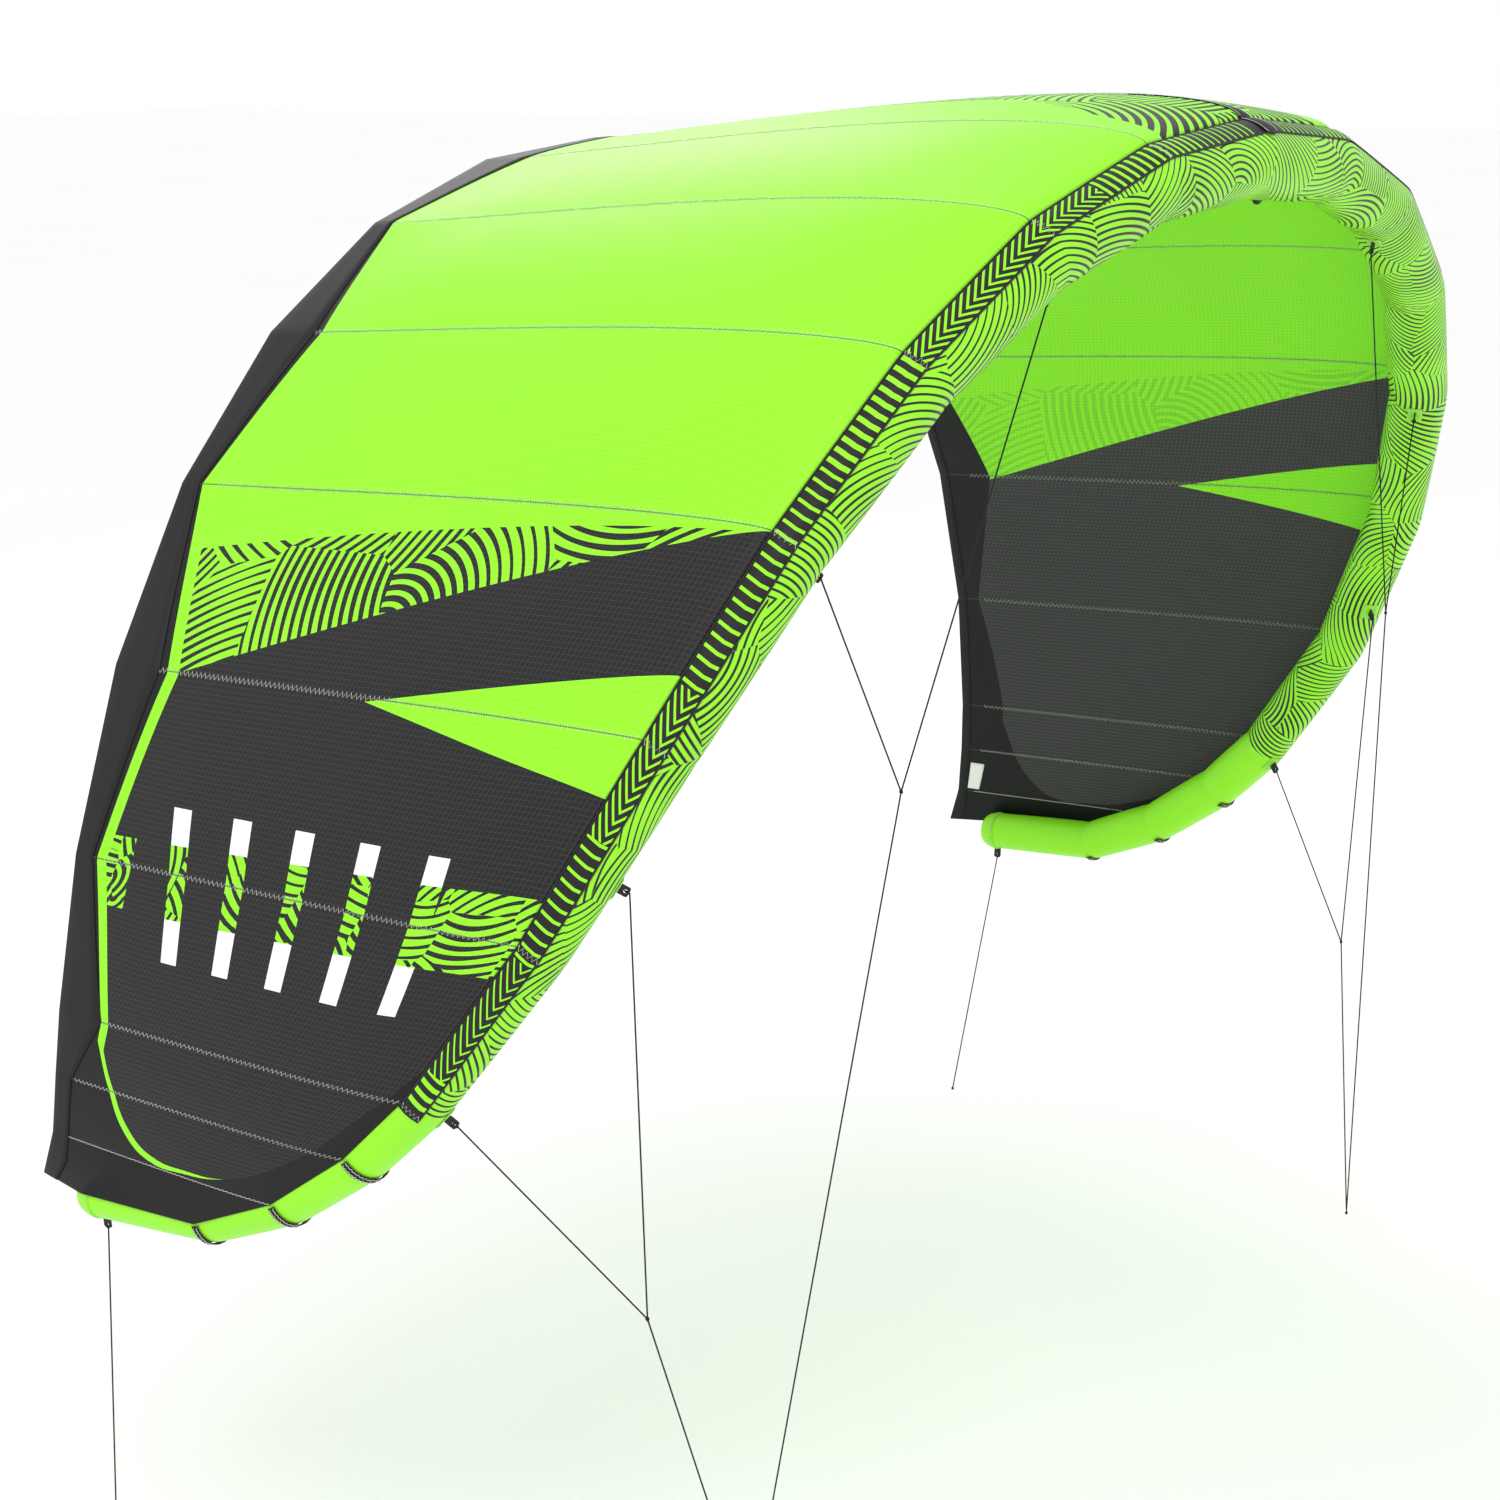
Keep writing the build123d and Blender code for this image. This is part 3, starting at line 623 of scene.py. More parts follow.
def canopy_material(name, lime, print_share, trim):
    """Lime and charcoal ripstop with a smooth dark border. trim adds the lime edging and white bars, and halves
    the charcoal as painted shade against the sheen.
    """
    made, tree, shader = blank_material(name, 0.42, 0.16)
    station, share, metres = both_maps(tree)

    def below(value, limit):
        return calc(tree, "LESS_THAN", value, limit)

    def above(value, limit):
        return calc(tree, "GREATER_THAN", value, limit)

    def rest(mask):
        return calc(tree, "SUBTRACT", 1.0, mask)

    def slanted(slope, start):
        """The station of a line that leans with the share of the chord."""
        return calc(tree, "MULTIPLY_ADD", share, slope, start)

    # the woven area ends at the border along the rear edge and round the tip
    rear = through(tree, station, (0, 0.968), (0.083, 0.962), (0.181, 0.968), (0.285, 0.907), (0.395, 0.962),
                   (0.515, 0.888), (0.642, 0.948), (0.771, 0.866), (1, 0.866))
    tip = through(tree, share, (0, 0.74), (0.035, 0.7705), (0.084, 0.825), (0.137, 0.864), (0.243, 0.892),
                  (0.40, 0.903), (0.525, 0.903), (0.68, 0.878), (0.791, 0.836), (0.86, 0.79), (0.90, 0.76),
                  (1, 0.74), handle="AUTO")
    tip = calc(tree, "MAXIMUM", tip, below(station, tip_border_start))
    woven = both(tree, below(share, rear), below(station, tip))
    # lime field, its slanting lower edge, and the lime wedge below
    field = below(station, slanted(0.137, 0.3957))
    wedge = both(tree, above(station, slanted(0.0803, 0.478)), below(station, slanted(-0.0715, 0.5505)))
    pale = either(tree, field, wedge)
    # printed lines at the foot of the field and beside the middle
    lines = arc_lines(tree, metres, 0.24, 0.021, 0.42, 1.0)
    foot = both(tree, above(station, slanted(slanted(0.0165, 0.027), 0.398)), field, below(share, 0.93))
    fan = below(station, through(tree, share, (0, 0.07), (0.12, 0.06), (0.25, 0.035), (0.6, 0.025),
                                 (1, 0.02)))
    pale = both(tree, pale, rest(both(tree, either(tree, foot, fan), lines, print_share)))
    if trim:
        side_width = through(tree, share, (0, 0), (0.24, 0), (0.34, 0.004), (0.5, 0.0075), (1, 0.011))
        inner = both(tree, below(share, calc(tree, "SUBTRACT", rear, rear_edging)),
                     below(station, calc(tree, "SUBTRACT", tip, side_width)))
        # slanting plain bars across the lower wing, with a belt of printed lines through them
        lean = calc(tree, "MULTIPLY_ADD", station, 0.55, share)
        bar = calc(tree, "FRACT", calc(tree, "MULTIPLY", calc(tree, "SUBTRACT", lean, bars_from), 7.2))
        bar = both(tree, below(bar, 0.30), above(lean, bars_from), below(lean, bars_to),
                   above(station, 0.598), below(station, 0.706))
        belt = both(tree, above(station, slanted(0.012, 0.6135)), below(station, slanted(0.008, 0.668)))
        ends = both(tree, belt, either(tree, below(share, 0.17), above(share, 0.86)))
        fine = rest(arc_lines(tree, metres, 0.15, 0.019, 0.42, 5.0))
        pale = either(tree, pale, rest(inner), both(tree, ends, fine), both(tree, bar, belt, fine))
        white = both(tree, bar, rest(belt))
    pale = both(tree, pale, woven)
    # ripstop: a grid of thicker threads
    axes = axes_of(tree, metres)
    rows = [above(calc(tree, "PINGPONG", axes[way], ripstop_pitch / 2), 0.0041) for way in ("X", "Y")]
    grid = both(tree, either(tree, *rows), woven)
    fade = noise(tree, 2.5, 3.0)
    bright = mix_colour(tree, fade, [0.95 * c for c in lime], [1.05 * c for c in lime])
    bright = mix_colour(tree, calc(tree, "MULTIPLY", grid, 0.55), bright,
                        [min(1.0, 1.16 * c + 0.03) for c in lime])
    border = mix_colour(tree, fade, (0.010, 0.010, 0.011), (0.015, 0.015, 0.016))
    # On the outside face the charcoal is set at half the inside's: painted shade that offsets the lamps' sheen
    # on that face, not a darker cloth.
    grey_level = 0.018 if trim else 0.036
    greys = [[level * c for c in (1.0, 1.0, 1.02)] for level in (grey_level, 2 * grey_level)]
    grey = mix_colour(tree, grid, *greys)
    dark = mix_colour(tree, woven, border, grey)
    colour = mix_colour(tree, pale, dark, bright)
    if trim:
        colour = mix_colour(tree, white, colour, (0.90, 0.90, 0.90))
    # the turned-in cloth of a seam shows as a thin dark line
    seam = add(tree, "ShaderNodeAttribute", {}, attribute_name="seam").outputs["Fac"]
    seam_line = calc(tree, "MULTIPLY", below(seam, seam_half), 0.75)
    colour = mix_colour(tree, seam_line, colour, (0.05, 0.07, 0.03))
    set_colour(tree, shader, colour)
    cloth_bump(tree, shader, metres, light_thread, weave_depth, calc(tree, "MULTIPLY", grid, 0.6))
    return made


# The inside face's lime is darker than the outside's: painted shade of the canopy's underside, the same cloth on
# both faces.
lime_outside, shaded_lime_inside = (0.29, 0.86, 0.022), (0.235, 0.76, 0.016)
skin_paint = canopy_material("ripstop_outside", lime_outside, 1.0, True)
shaded_inside_paint = canopy_material("ripstop_inside", shaded_lime_inside, 0.22, False)

canopy = surface("canopy", [[cloth_point(s, v, 0.001) for v in cloth_shares] for s in cloth_steps],
                 {"place": lambda i, j: (abs(cloth_steps[i]), cloth_shares[j]),
                  "metres": lambda i, j: (abs(cloth_run[i]), cloth_shares[j] * chords[abs(cloth_steps[i])])},
                 (0, 0, 1))
seam_reach = canopy.data.attributes.new("seam", "FLOAT", "POINT")
seam_rows = [k for k, s in enumerate(cloth_steps) if abs(s) in panel_ends]
wide = len(cloth_shares)
for i in range(len(cloth_steps)):
    nearest = min(seam_rows, key=lambda k: abs(k - i))
    for j in range(wide):
        gap = canopy.data.vertices[i * wide + j].co - canopy.data.vertices[nearest * wide + j].co
        seam_reach.data[i * wide + j].value = gap.length
canopy.data.materials.append(skin_paint)
canopy.data.materials.append(shaded_inside_paint)
apply_modifier(canopy, "SOLIDIFY", thickness=0.0012, offset=0.0, material_offset=1)
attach(canopy, "wing")
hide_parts(*[f"canopy_{hand}_{part}" for hand in sides for part in (1, 2, 3, 4, 5, 6, 7, "tip")])

# ---------------------------------------------------------------- trailing edge band
# Smooth dark cloth folded over the rear edge and sewn down, so that the edge doesn't flutter.
# It is wider at every second rib, where the load comes in.
hem_narrow, hem_wide, hem_inside = 0.043, 0.114, 0.022
hem_paint, tree, shader = blank_material("dark_hem_cloth", 0.5, 0.16)
_, share, metres = both_maps(tree)
fold = calc(tree, "MULTIPLY", calc(tree, "GREATER_THAN", calc(tree, "PINGPONG", share, 0.5), 0.47), 0.5)
set_colour(tree, shader, lime_and_dark(tree, 1.0))
cloth_bump(tree, shader, metres, light_thread, weave_depth, fold)


def hem_width(s):
    a, b, part = span_of(abs(s), panel_ends)
    first, last = [hem_wide if panel_ends.index(q) in (1, 3, 5, 7) else hem_narrow for q in (a, b)]
    return first + (last - first) * part


def hem_row(s):
    chord = chords[abs(s)]
    edge = cloth_point(s, 1.0, 0.001)
    back = (edge - cloth_point(s, 0.985, 0.001)).normalized()
    wide = hem_width(s)
    over = [cloth_point(s, 1 - wide * q / chord, h) for q, h in
            ((1.0, 0.0020), (1.0, 0.0030), (0.75, 0.0031), (0.5, 0.0031), (0.25, 0.0031), (0.0, 0.0030))]
    under = [cloth_point(s, 1 - q / chord, h) for q, h in
             ((0.0, -0.0010), (hem_inside / 2, -0.0011), (hem_inside, -0.0010), (hem_inside, -0.0001),
              (hem_inside / 2, -0.0001), (0.0, -0.0001))]
    rear = [cloth_point(s, 1.0, h) + back * d for h, d in
            ((0.0022, 0.0020), (0.001, 0.0026), (-0.0002, 0.0020))]
    front = [cloth_point(s, 1.0, h) + back * d for h, d in ((0.0004, 0.0008), (0.0016, 0.0008))]
    inner = [cloth_point(s, 1 - wide * q / chord, 0.0020) for q in (0.0, 0.4, 0.75)]
    return over + rear + under + front + inner


hem_rows = [hem_row(s) for s in cloth_steps]
hem = surface("trailing_edge_band", hem_rows,
              {"place": lambda i, j: (abs(cloth_steps[i]), j / 20),
               "metres": lambda i, j: (cloth_run[i], 0.01 * j)}, (0, 0, 1), wrap=True, close=True)
sew_on(hem, hem_paint, "dark_cloth", "trailing_edge_band_left", "trailing_edge_band_right")

# ---------------------------------------------------------------- seam stitching
# Each panel seam is closed by a zigzag of white thread on both faces of the cloth, which runs
# on over the dark band of the leading edge. The band's two edges are bound with dark cord.
thread_paint, _ = cloudy_material("white_thread", 0.6, 0.4, 900.0, 1.0,
                                  (0.62, 0.62, 0.60), (0.88, 0.88, 0.86))
cord_paint, _ = cloudy_material("dark_binding", 0.6, 0.4, 500.0, 1.0,
                                (0.012, 0.012, 0.013), (0.032, 0.032, 0.033))


def threads(name, paths, radius, paint, corners=0):
    """Straight-sided runs of thread, each through its own points, as one mesh."""
    data = bpy.data.curves.new(name, "CURVE")
    data.dimensions, data.bevel_depth, data.bevel_resolution = "3D", radius, corners
    data.use_fill_caps = True
    for points in paths:
        spline = data.splines.new("POLY")
        spline.points.add(len(points) - 1)
        for made, point in zip(spline.points, points):
            made.co = (*point, 1.0)
    path = new_object(name + "_path", data)
    mesh = bpy.data.meshes.new_from_object(path.evaluated_get(bpy.context.evaluated_depsgraph_get()))
    bpy.data.objects.remove(path)
    mesh.name = name
    mesh.materials.clear()
    sew_on(new_object(name, mesh), paint, "dark_cloth" if paint is cord_paint else "line_cord")


def swung(k, swing):
    """A zigzag's step to one side and then to the other."""
    return swing if k % 2 else -swing


stitch_step, stitch_swing, stitched_share = 0.0055, 0.0032, 0.93
for hand, side in sides.items():
    for face, lift in (("outside", 0.0019), ("inside", -0.0004)):
        paths = []
        for s in panel_ends[0 if side > 0 else 1:-1]:
            count = int(chords[s] * stitched_share / stitch_step)
            swing = stitch_swing / (1.9 if s < 0.9 else 2.4) * (1 if s else side)
            paths.append([cloth_point(side * (s + swung(k, swing)), 0.006 + stitched_share * k / count, lift)
                          for k in range(count)])
        threads(f"seam_stitches_{face}_{hand}", paths, 0.00055, thread_paint)
front_paths = [[tube_point(side * (s + swung(k, 0.0017)),
                           band_from + 1 + (band_to - band_from - 2) * k / 9, 0.0018) for k in range(10)]
               for side in (-1, 1) for s in joints[1:8]]
threads("edge_band_stitches", front_paths, 0.00055, thread_paint)
binding = [[tube_point(s, a, 0.0011) for s in band_steps] for a in (band_from - 0.7, band_to)]
threads("edge_band_binding", binding, 0.0014, cord_paint, 2)

# ---------------------------------------------------------------- joint bands
# Dark tape sewn with two rows of thread at the outer three joints of each tube end, from the front
# edge of the canopy round the outside of the tube to its underside.
tape_from, tape_to, tape_half = 96.0, 222.0, 0.0075
tape_joints = joints[-3:]
tape_columns = 20
tape_section = ((-1.0, 0.0035), (-0.9, 0.0041), (-0.5, 0.0044), (0.0, 0.0046), (0.5, 0.0044), (0.9, 0.0041),
                (1.0, 0.0035))


def round_tape(s, side, offset, degrees, height):
    per_metre = 0.02 / (tube_centre(s + 0.01) - tube_centre(s - 0.01)).length
    return tube_point(side * (s + offset * per_metre), degrees, height)


def join_all(parts, name, paint, slot, *nodes):
    """These parts as one piece of the wing, in one material."""
    select_only(*parts)
    bpy.ops.object.join()
    parts[0].name = name
    sew_on(parts[0], paint, slot, *nodes)


for hand, side in sides.items():
    pieces, rows_of_thread = [], []
    for s in tape_joints:
        turns = [tape_from + (tape_to - tape_from) * k / tape_columns for k in range(tape_columns + 1)]
        ring = surface("joint_tape",
                       [[round_tape(s, side, tape_half * w, a, h) for w, h in tape_section] for a in turns],
                       {"place": lambda i, j: (0.9, j / 6), "metres": lambda i, j: (0.006 * i, 0.003 * j)},
                       rib_axes(s)[0] * -1)
        centre = tube_centre(s)
        centre.x *= side
        face = ring.data.polygons[0]
        if face.normal.dot(face.center - centre) < 0:
            ring.data.flip_normals()
        apply_modifier(ring, "SOLIDIFY", thickness=0.0012, offset=-1.0)
        pieces.append(ring)
        for row in (-0.55, 0.55):
            rows_of_thread.append([round_tape(s, side, tape_half * (row + swung(k, 0.16)),
                                              tape_from + 3 + (tape_to - tape_from - 6) * k / 30, 0.0050)
                                   for k in range(31)])
    join_all(pieces, f"joint_tapes_{hand}", hem_paint, "dark_cloth", f"joint_bands_{hand}")
    threads(f"joint_tape_stitches_{hand}", rows_of_thread, 0.0006, thread_paint)

# ---------------------------------------------------------------- tube ends
# A cup of the plain sleeve cloth closes each end of the tube. Its cuff overlaps the sleeve and is
# sewn down with one row of zigzag.
cup_shape = ((-0.014, 1.0, 0.0004), (-0.014, 1.0, 0.0014), (0.0, 1.0, 0.0016), (0.004, 0.995, 0.0),
             (0.010, 0.97, 0.0), (0.017, 0.91, 0.0), (0.023, 0.82, 0.0), (0.028, 0.69, 0.0), (0.0315, 0.52, 0.0),
             (0.0335, 0.32, 0.0), (0.034, 0.10, 0.0))


def end_ring(side, ahead, share, height, count=48):
    """A ring round the tube's end: how far past it, its share of the radius, and a height over that."""
    aft, outward, along = rib_axes(tube_end)
    ring = []
    for j in range(count):
        turn = 2 * math.pi * j / count
        p = (tube_centre(tube_end) + along * ahead
             + (aft * math.cos(turn) + outward * math.sin(turn)) * (radius_at(tube_end) * share + height))
        ring.append(on_side(p, side))
    return ring


for hand, side in sides.items():
    cup = surface(f"tube_end_{hand}", [end_ring(side, *place) for place in cup_shape],
                  {"place": lambda i, j: (1.0, j / 48), "metres": lambda i, j: (0.006 * j, 0.004 * i)},
                  (0, 0, 1), wrap=True, close=True)
    sew_on(cup, sleeve_paint, "sleeve_cloth", f"tip_cap_{hand}")
    zigzag = [end_ring(side, -0.0095 if k % 2 else -0.0065, 1.0, 0.0019, 56)[k] for k in range(56)]
    threads(f"tube_end_stitches_{hand}", [zigzag + zigzag[:1]], 0.0006, thread_paint)

# ---------------------------------------------------------------- strut
# A thinner inflated tube under the middle rib keeps the canopy's curve. It tapers to the rear,
# has its own bladder, and hangs from the canopy by a sewn dark strip.
strut_radius, strut_end_radius = 0.044, 0.021
strut_start, strut_end, strut_gap = 0.05, 0.93, 0.001
strut_paint, tree, shader = blank_material("lime_strut_cloth", 0.36, 0.3)
_, _, metres = both_maps(tree)
set_colour(tree, shader, lime_and_dark(tree, 0.0, (0.27, 0.80, 0.018)))
cloth_bump(tree, shader, metres, heavy_thread, weave_depth)


def strut_ring(share, shrink, inset):
    count = 40
    taper = (strut_end_radius - strut_radius) * (share - strut_start) / (strut_end - strut_start)
    radius = strut_radius + taper
    p = rib_point(0.0, share, 0.0)
    along = (rib_point(0.0, share + 0.01, 0.0) - rib_point(0.0, share - 0.01, 0.0)).normalized()
    down = Vector((0, along.z, -along.y)).normalized()
    centre = p + down * (radius + strut_gap)
    turns = [2 * math.pi * j / count for j in range(count)]
    return [centre + (Vector((1, 0, 0)) * math.cos(turn) + down * math.sin(turn)) * (radius * shrink - inset)
            for turn in turns]


nose_turn = 0.014           # each end rounds off within this share of the chord
nose_steps = ((0, 0.45), (0.0012, 0.72), (0.004, 0.9), (0.009, 0.99))
rear_steps = ((0.009, 0.97), (0.004, 0.86), (0.0012, 0.66), (0, 0.35))
full_length = strut_end - strut_start - 2 * nose_turn
strut_rows = [(strut_start + ahead, shrink) for ahead, shrink in nose_steps]
strut_rows += [(strut_start + nose_turn + full_length * k / 40, 1.0) for k in range(41)]
strut_rows += [(strut_end - behind, shrink) for behind, shrink in rear_steps]


def strut_tube(name, rows, inset, paint, slot, node):
    tube = surface(name, [strut_ring(share, shrink, inset) for share, shrink in rows],
                   {"place": lambda i, j: (0.5, j / 40), "metres": lambda i, j: (0.033 * i, 0.006 * j)},
                   (0, 0, 1), wrap=True, close=True)
    sew_on(tube, paint, slot, node)
    return tube


strut_tube("strut", strut_rows, 0.0, strut_paint, "sleeve_cloth", "strut_sleeve")
strut_tube("strut_bladder_film", strut_rows[3:-3], bladder_gap, film_paint, "bladder_film", "strut_bladder")

flap = ((-0.012, 0.0002), (0.012, 0.0002), (0.012, -0.0008), (0.002, -0.0010), (0.002, -0.0030),
        (-0.002, -0.0030), (-0.002, -0.0010), (-0.012, -0.0008))
flap_shares = [strut_start + 0.01 + (strut_end - strut_start - 0.02) * k / 40 for k in range(41)]
strip = surface("strut_seam_strip",
                [[rib_point(0.0, share, h) + Vector((x, 0, 0)) for x, h in flap] for share in flap_shares],
                {"place": lambda i, j: (0.5, j / 8), "metres": lambda i, j: (0.033 * i, 0.004 * j)},
                (0, 0, 1), wrap=True, close=True)
sew_on(strip, hem_paint, "dark_cloth")
threads("strut_strip_stitches", [[rib_point(0.0, strut_start + 0.02 + 0.84 * k / 240, -0.0012)
                                  + Vector((x + swung(k, 0.0014), 0, 0)) for k in range(241)]
                                 for x in (-0.0085, 0.0085)], 0.0005, thread_paint)

# ---------------------------------------------------------------- strut patch
# A long dark wedge of heavy cloth spreads the strut's pull. It starts narrow on the canopy, widens
# towards the tube and ends round over its front, with a row of stitches inside its edge.
patch_start, patch_turn = 0.16, 52.0
first_joint_x = tube_centre(joints[1]).x


def patch_point(t, x, height):
    """t runs from 0 on the canopy to 1 over the front of the tube; x is to the side, in metres."""
    s = x / first_joint_x * joints[1]
    if t < 0.72:
        return cloth_point(s, patch_start * (1 - t / 0.72) ** 1.5, 0.0022 + height)
    lift = 0.0016 + 0.0018 * smooth(t, 0.80, 0.94) - 0.0012 * smooth(t, 0.97, 1.0)
    return tube_point(s, 90 + patch_turn * (t - 0.72) / 0.28, lift + height)


def patch_half(t):
    wide = 0.0045 + 0.0165 * smooth(t, 0.30, 0.86)
    return wide * math.sqrt(max(0.0, 1 - (max(0.0, t - 0.93) / 0.07) ** 2)) + 0.0006


patch_steps = [k / 60 for k in range(56)] + [0.93, 0.945, 0.96, 0.97, 0.98, 0.988, 0.994, 0.998, 1.0]
patch = surface("strut_patch_wedge",
                [[patch_point(t, patch_half(t) * w / 4, 0.0) for w in range(-4, 5)] for t in patch_steps],
                {"place": lambda i, j: (0.5, j / 8), "metres": lambda i, j: (0.005 * i, 0.004 * j)},
                (0, 0, 1))
apply_modifier(patch, "SOLIDIFY", thickness=0.0014, offset=1.0)
sew_on(patch, hem_paint, "dark_cloth", "strut_patch")
stitch_steps = [0.02 + 0.95 * k / 110 for k in range(111)]
threads("patch_stitches", [[patch_point(t, edge * (patch_half(t) - 0.0022 - swung(k, 0.0008)), 0.0017)
                            for k, t in enumerate(stitch_steps)] for edge in (-1, 1)], 0.0005, thread_paint)

# ---------------------------------------------------------------- bridle tabs
# Folded webbing with an eye near its end, sewn into the tube under a square of sleeve cloth. Each
# line is looped through its tab's eye.
tab_half, tab_top, tab_foot, tab_eye, eye_height = 0.009, -0.006, 0.022, 0.0035, 0.015
tab_gap = 0.0018
pad_step, pad_turn = 0.005, 0.004       # an eighth of the pad along the tube and round it
pad_rise = (0.0012, 0.0004)             # its middle and its sewn rim over the sleeve
web_paint, tree, shader = blank_material("black_webbing", 0.7, 0.3)
_, _, metres = both_maps(tree)
rib_width = 0.0007
ribs = calc(tree, "DIVIDE", calc(tree, "PINGPONG", axes_of(tree, metres)["X"], rib_width), rib_width)
set_colour(tree, shader, mix_colour(tree, ribs, (0.010, 0.010, 0.011), (0.038, 0.038, 0.040)))
set_bump(tree, shader, ribs, 0.5, 0.0003)
tabs = {"outer_rear": (0.768, outer_knot), "outer_front": (0.592, outer_knot),
        "inner_rear": (0.395, inner_knot), "inner_front": (0.181, inner_knot), "back": (tube_end, back_knot)}
for hand, side in sides.items():
    straps, pads, threads_of_pads = [], [], []
    for leg, (s, end) in tabs.items():
        aft, outward, along = rib_axes(s)
        centre = tube_centre(s) - along * (0.008 if leg == "back" else 0.0)
        if leg == "outer_front":
            a, b, share = span_of(s, joints)
            centre = tube_centre(a).lerp(tube_centre(b), share)
            along = (tube_centre(b) - tube_centre(a)).normalized()
        down = end - centre
        down = (down - along * down.dot(along)).normalized()
        root = centre + down * (radius_at(s) + tab_gap)
        through_eye = along.cross(down)
        rings = []
        for reach in (1.0, 0.9, 0.45, 0.0):
            ring = []
            for k in range(32):
                a = 2 * math.pi * k / 32
                u, w = math.cos(a), math.sin(a)
                high = (tab_foot - eye_height) if w > 0 else (eye_height - tab_top)
                far = 1 / ((abs(u) / tab_half) ** 5 + (abs(w) / high) ** 5) ** 0.2
                r = tab_eye + (far - tab_eye) * reach
                ring.append(on_side(root + down * (eye_height + w * r) + along * (u * r), side))
            rings.append(ring)
        strap = surface("strap", rings, {"place": lambda i, j: (i, j / 32),
                                         "metres": lambda i, j: (0.0009 * j, 0.003 * i)},
                        (0, 0, 1), wrap=True)
        apply_modifier(strap, "SOLIDIFY", thickness=0.0030, offset=0.0)
        apply_modifier(strap, "BEVEL", width=0.0005, segments=2, angle_limit=1.0)
        straps.append(strap)
        turned = math.degrees(math.atan2(down.dot(outward), down.dot(aft)))
        if leg != "back":
            per_metre = 0.02 / (tube_centre(s + 0.01) - tube_centre(s - 0.01)).length
            per_turn = math.degrees(1 / radius_at(s))

            def pad_point(u, w, height):
                return tube_point(side * (s + u * per_metre), turned + w * per_turn, height)

            pad = surface("pad", [[pad_point(u * pad_step, w * pad_turn, pad_rise[max(abs(u), abs(w)) // 4])
                                   for w in range(-4, 5)] for u in range(-4, 5)],
                          {"place": lambda i, j: (i / 8, j / 8),
                           "metres": lambda i, j: (pad_step * i, pad_turn * j)}, on_side(down, side))
            apply_modifier(pad, "SOLIDIFY", thickness=0.0010, offset=1.0)
            pads.append(pad)
            box = []
            for k in range(64):
                q, r = divmod(k, 16)
                f, sway = r / 16 * 2 - 1, swung(k, 0.0008)
                u, w = ((f, -1), (1, f), (-f, 1), (-1, -f))[q]
                box.append(pad_point((0.0165 + sway) * u, (0.0125 + sway) * w, 0.0026))
            threads_of_pads.append(box + box[:1])
        ring = [on_side(root + down * (0.0186 + 0.0052 * math.sin(a)) + through_eye * (0.0036 * math.cos(a)),
                        side) for a in (2 * math.pi * k / 10 for k in range(10))]
        loop = curve_piece(f"loop_{leg}_{hand}", ring, 0.0014, line_paint, cyclic=True)
        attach(loop, "wing" if leg == "back" else f"bridle_{leg.split('_')[0]}_v_{hand}")
    join_all(pads, f"tab_pads_{hand}", strut_paint, "sleeve_cloth")
    join_all(straps, f"webbing_tabs_{hand}", web_paint, "webbing", f"bridle_tabs_{hand}")
    threads(f"tab_stitches_{hand}", threads_of_pads, 0.0005, thread_paint)

# ---------------------------------------------------------------- inflate valve and hose clip
# Moulded black plastic with a fine spark-eroded grain: the valve's flange, neck and hinged lid,
# and the slide clip that shuts the hose.
plastic, tree, shader = blank_material("moulded_black_plastic", 0.42, 0.5)
rub = noise(tree, 60.0, 3.0)
set_colour(tree, shader, mix_colour(tree, rub, (0.016, 0.016, 0.017), (0.034, 0.034, 0.036)))
tree.links.new(calc(tree, "MULTIPLY_ADD", rub, 0.25, 0.30), shader.inputs["Roughness"])
set_bump(tree, shader, noise(tree, 1400.0, 2.0), 0.2, 0.0002)
for node in ("inflate_valve_body", "inflate_valve_lid", "hose_clip"):
    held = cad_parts[node]
    if not held.material_slots:
        held.data.materials.append(plastic)
    for place in held.material_slots:
        place.material = plastic

# ---------------------------------------------------------------- filling hose
# A soft 12 mm hose takes air from the leading edge to the strut. Each end has a moulded cuff that
# is welded to the cloth.
hose_paint, _ = cloudy_material("dark_hose", 0.35, 0.5, 90.0, 3.0,
                                (0.085, 0.087, 0.088), (0.13, 0.132, 0.134), (0.15, 0.0005))
hose_points = [Vector(p) for p in ((0.096, 0.0764, -0.014), (0.096, 0.1424, 0.004),
                                   (0.0858, 0.1988, 0.049), (0.0453, 0.2088, 0.069))]


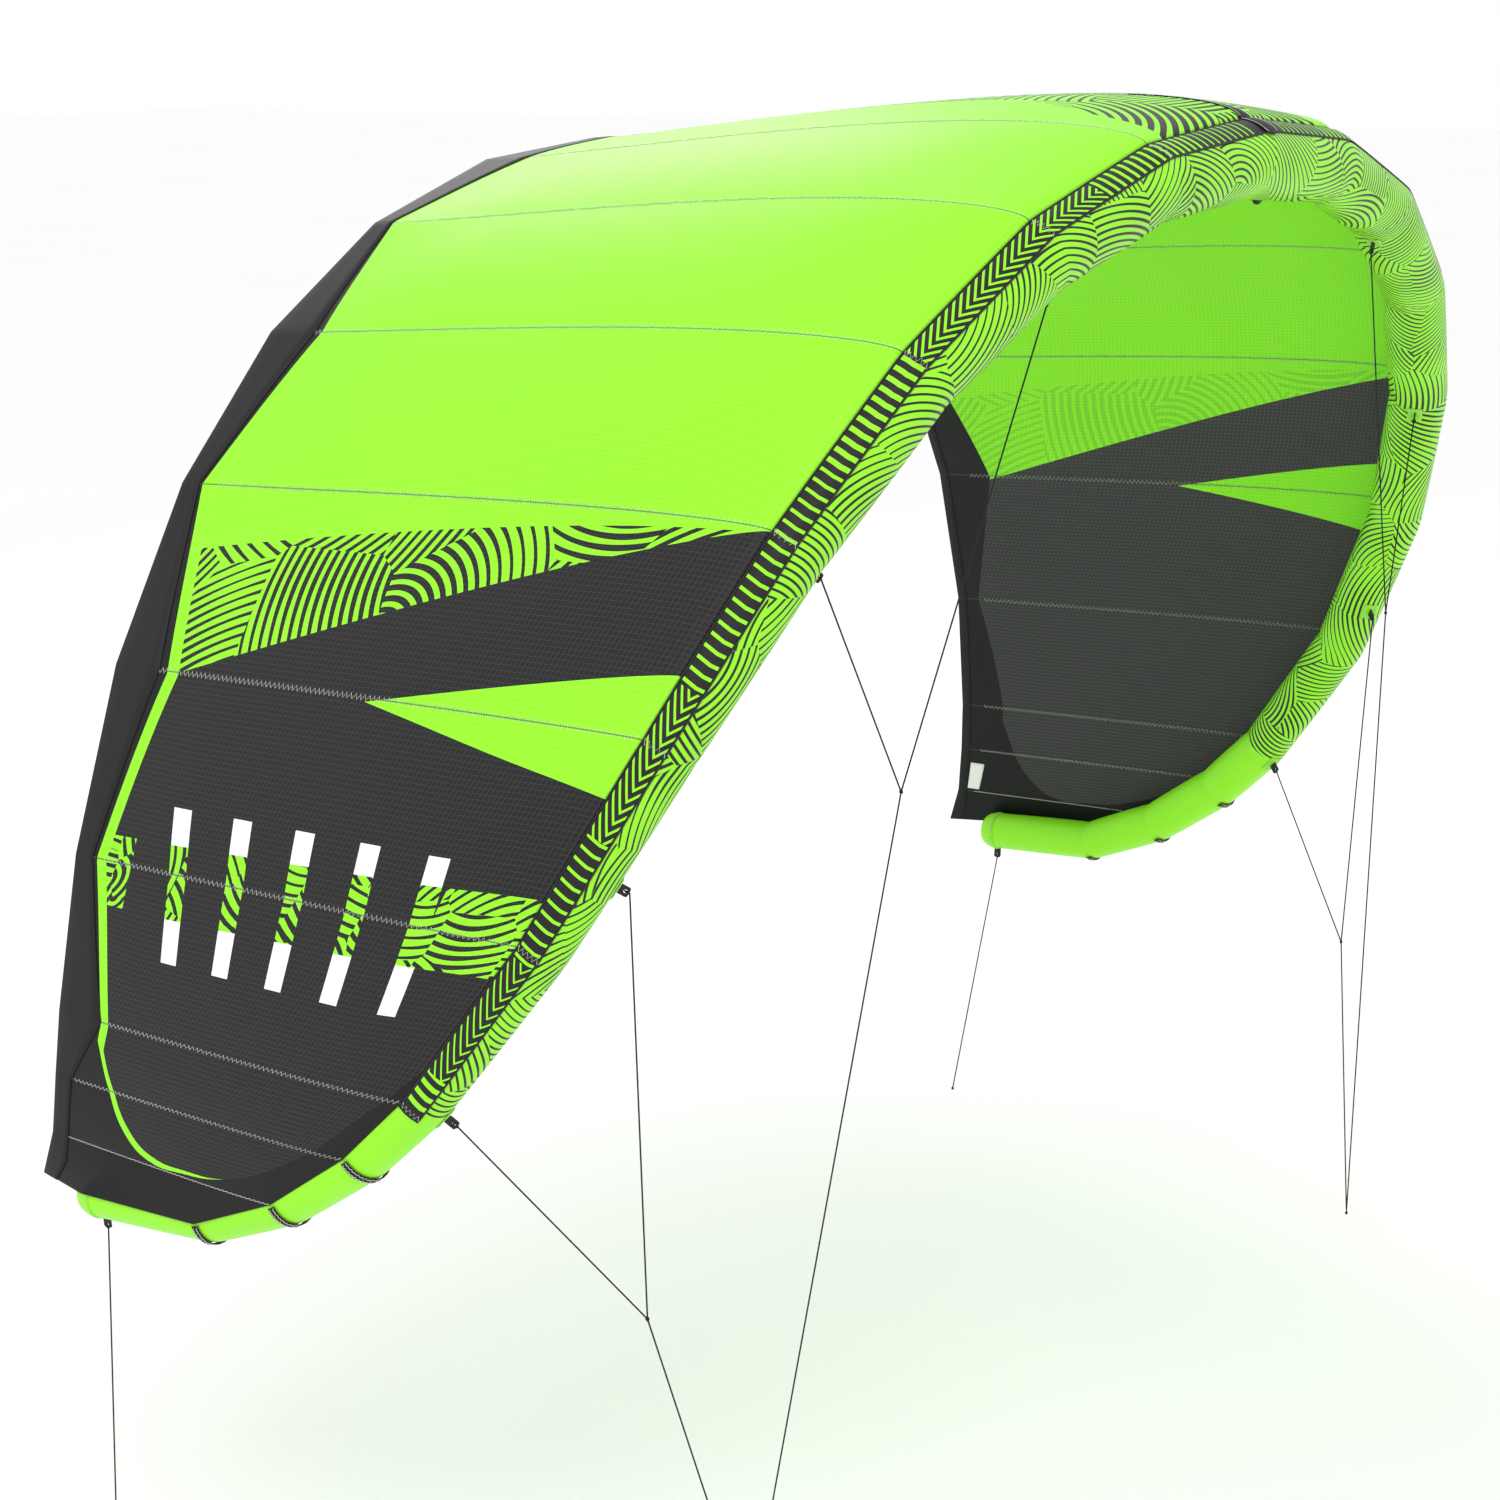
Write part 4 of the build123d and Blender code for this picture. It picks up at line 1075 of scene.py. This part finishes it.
def turned_ring(name, start, ahead, profile):
    """A round plastic piece about an axis, from (distance, radius) pairs that go once round its wall."""
    side_way = ahead.cross(Vector((0, 0, 1))).normalized()
    up_way = ahead.cross(side_way)
    count = 36
    rows = [[start + ahead * d + (side_way * math.cos(2 * math.pi * j / count)
                                  + up_way * math.sin(2 * math.pi * j / count)) * r for j in range(count)]
            for d, r in profile + profile[:1]]
    piece = surface(name, rows, {"place": lambda i, j: (i / 10, j / count)}, (0, 0, 1), wrap=True)
    select_only(piece)
    bpy.ops.object.mode_set(mode="EDIT")
    bpy.ops.mesh.select_all(action="SELECT")
    bpy.ops.mesh.remove_doubles(threshold=0.00001)
    bpy.ops.mesh.normals_make_consistent(inside=False)
    bpy.ops.object.mode_set(mode="OBJECT")
    sew_on(piece, plastic, "valve_plastic")
    return piece


cuff = [(0.000, 0.0061), (0.000, 0.0120), (0.0016, 0.0120), (0.0024, 0.0100), (0.0040, 0.0082),
        (0.0090, 0.0078), (0.0100, 0.0070), (0.0100, 0.0061)]
short_cuff = [(0.62 * step, radius) for step, radius in cuff]     # leaves room for the clip
cuff_sunk, hose_diameter = 0.0030, 0.012
first_way = (hose_points[1] - hose_points[0]).normalized()
last_way = (hose_points[2] - hose_points[3]).normalized()
cuffs = [turned_ring("hose_cuff_front", hose_points[0] - first_way * cuff_sunk, first_way, short_cuff),
         turned_ring("hose_cuff_strut", hose_points[3] - last_way * cuff_sunk, last_way, cuff)]
hose = curve_piece("filling_hose", hose_points, hose_diameter / 2, hose_paint, sides=5)
hose.data.resolution_u = 24
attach(hose, "wing")
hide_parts("one_pump_hose")

# ---------------------------------------------------------------- blank label
# A plain white woven label sewn inside the right wing, beside the rear edge near the tip.
label_paint, tree, shader = blank_material("white_label", 0.7, 0.3)
_, _, metres = both_maps(tree)
fade = add(tree, "ShaderNodeTexNoise", {"Vector": metres, "Scale": 60.0, "Detail": 2.0}).outputs["Fac"]
set_colour(tree, shader, mix_colour(tree, fade, (0.80, 0.80, 0.79), (0.90, 0.90, 0.89)))
cloth_bump(tree, shader, metres, 0.001, weave_depth)
label = surface("blank_label", [[cloth_point(0.856 + 0.047 * i / 8, 0.905 + 0.055 * j / 6, -0.0003)
                                 for j in range(7)] for i in range(9)],
                {"place": lambda i, j: (0.86, j / 6), "metres": lambda i, j: (0.012 * i, 0.005 * j)},
                (-1, 0, 0))
label.data.materials.append(label_paint)
apply_modifier(label, "SOLIDIFY", thickness=0.0006, offset=1.0)
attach(label, "wing")
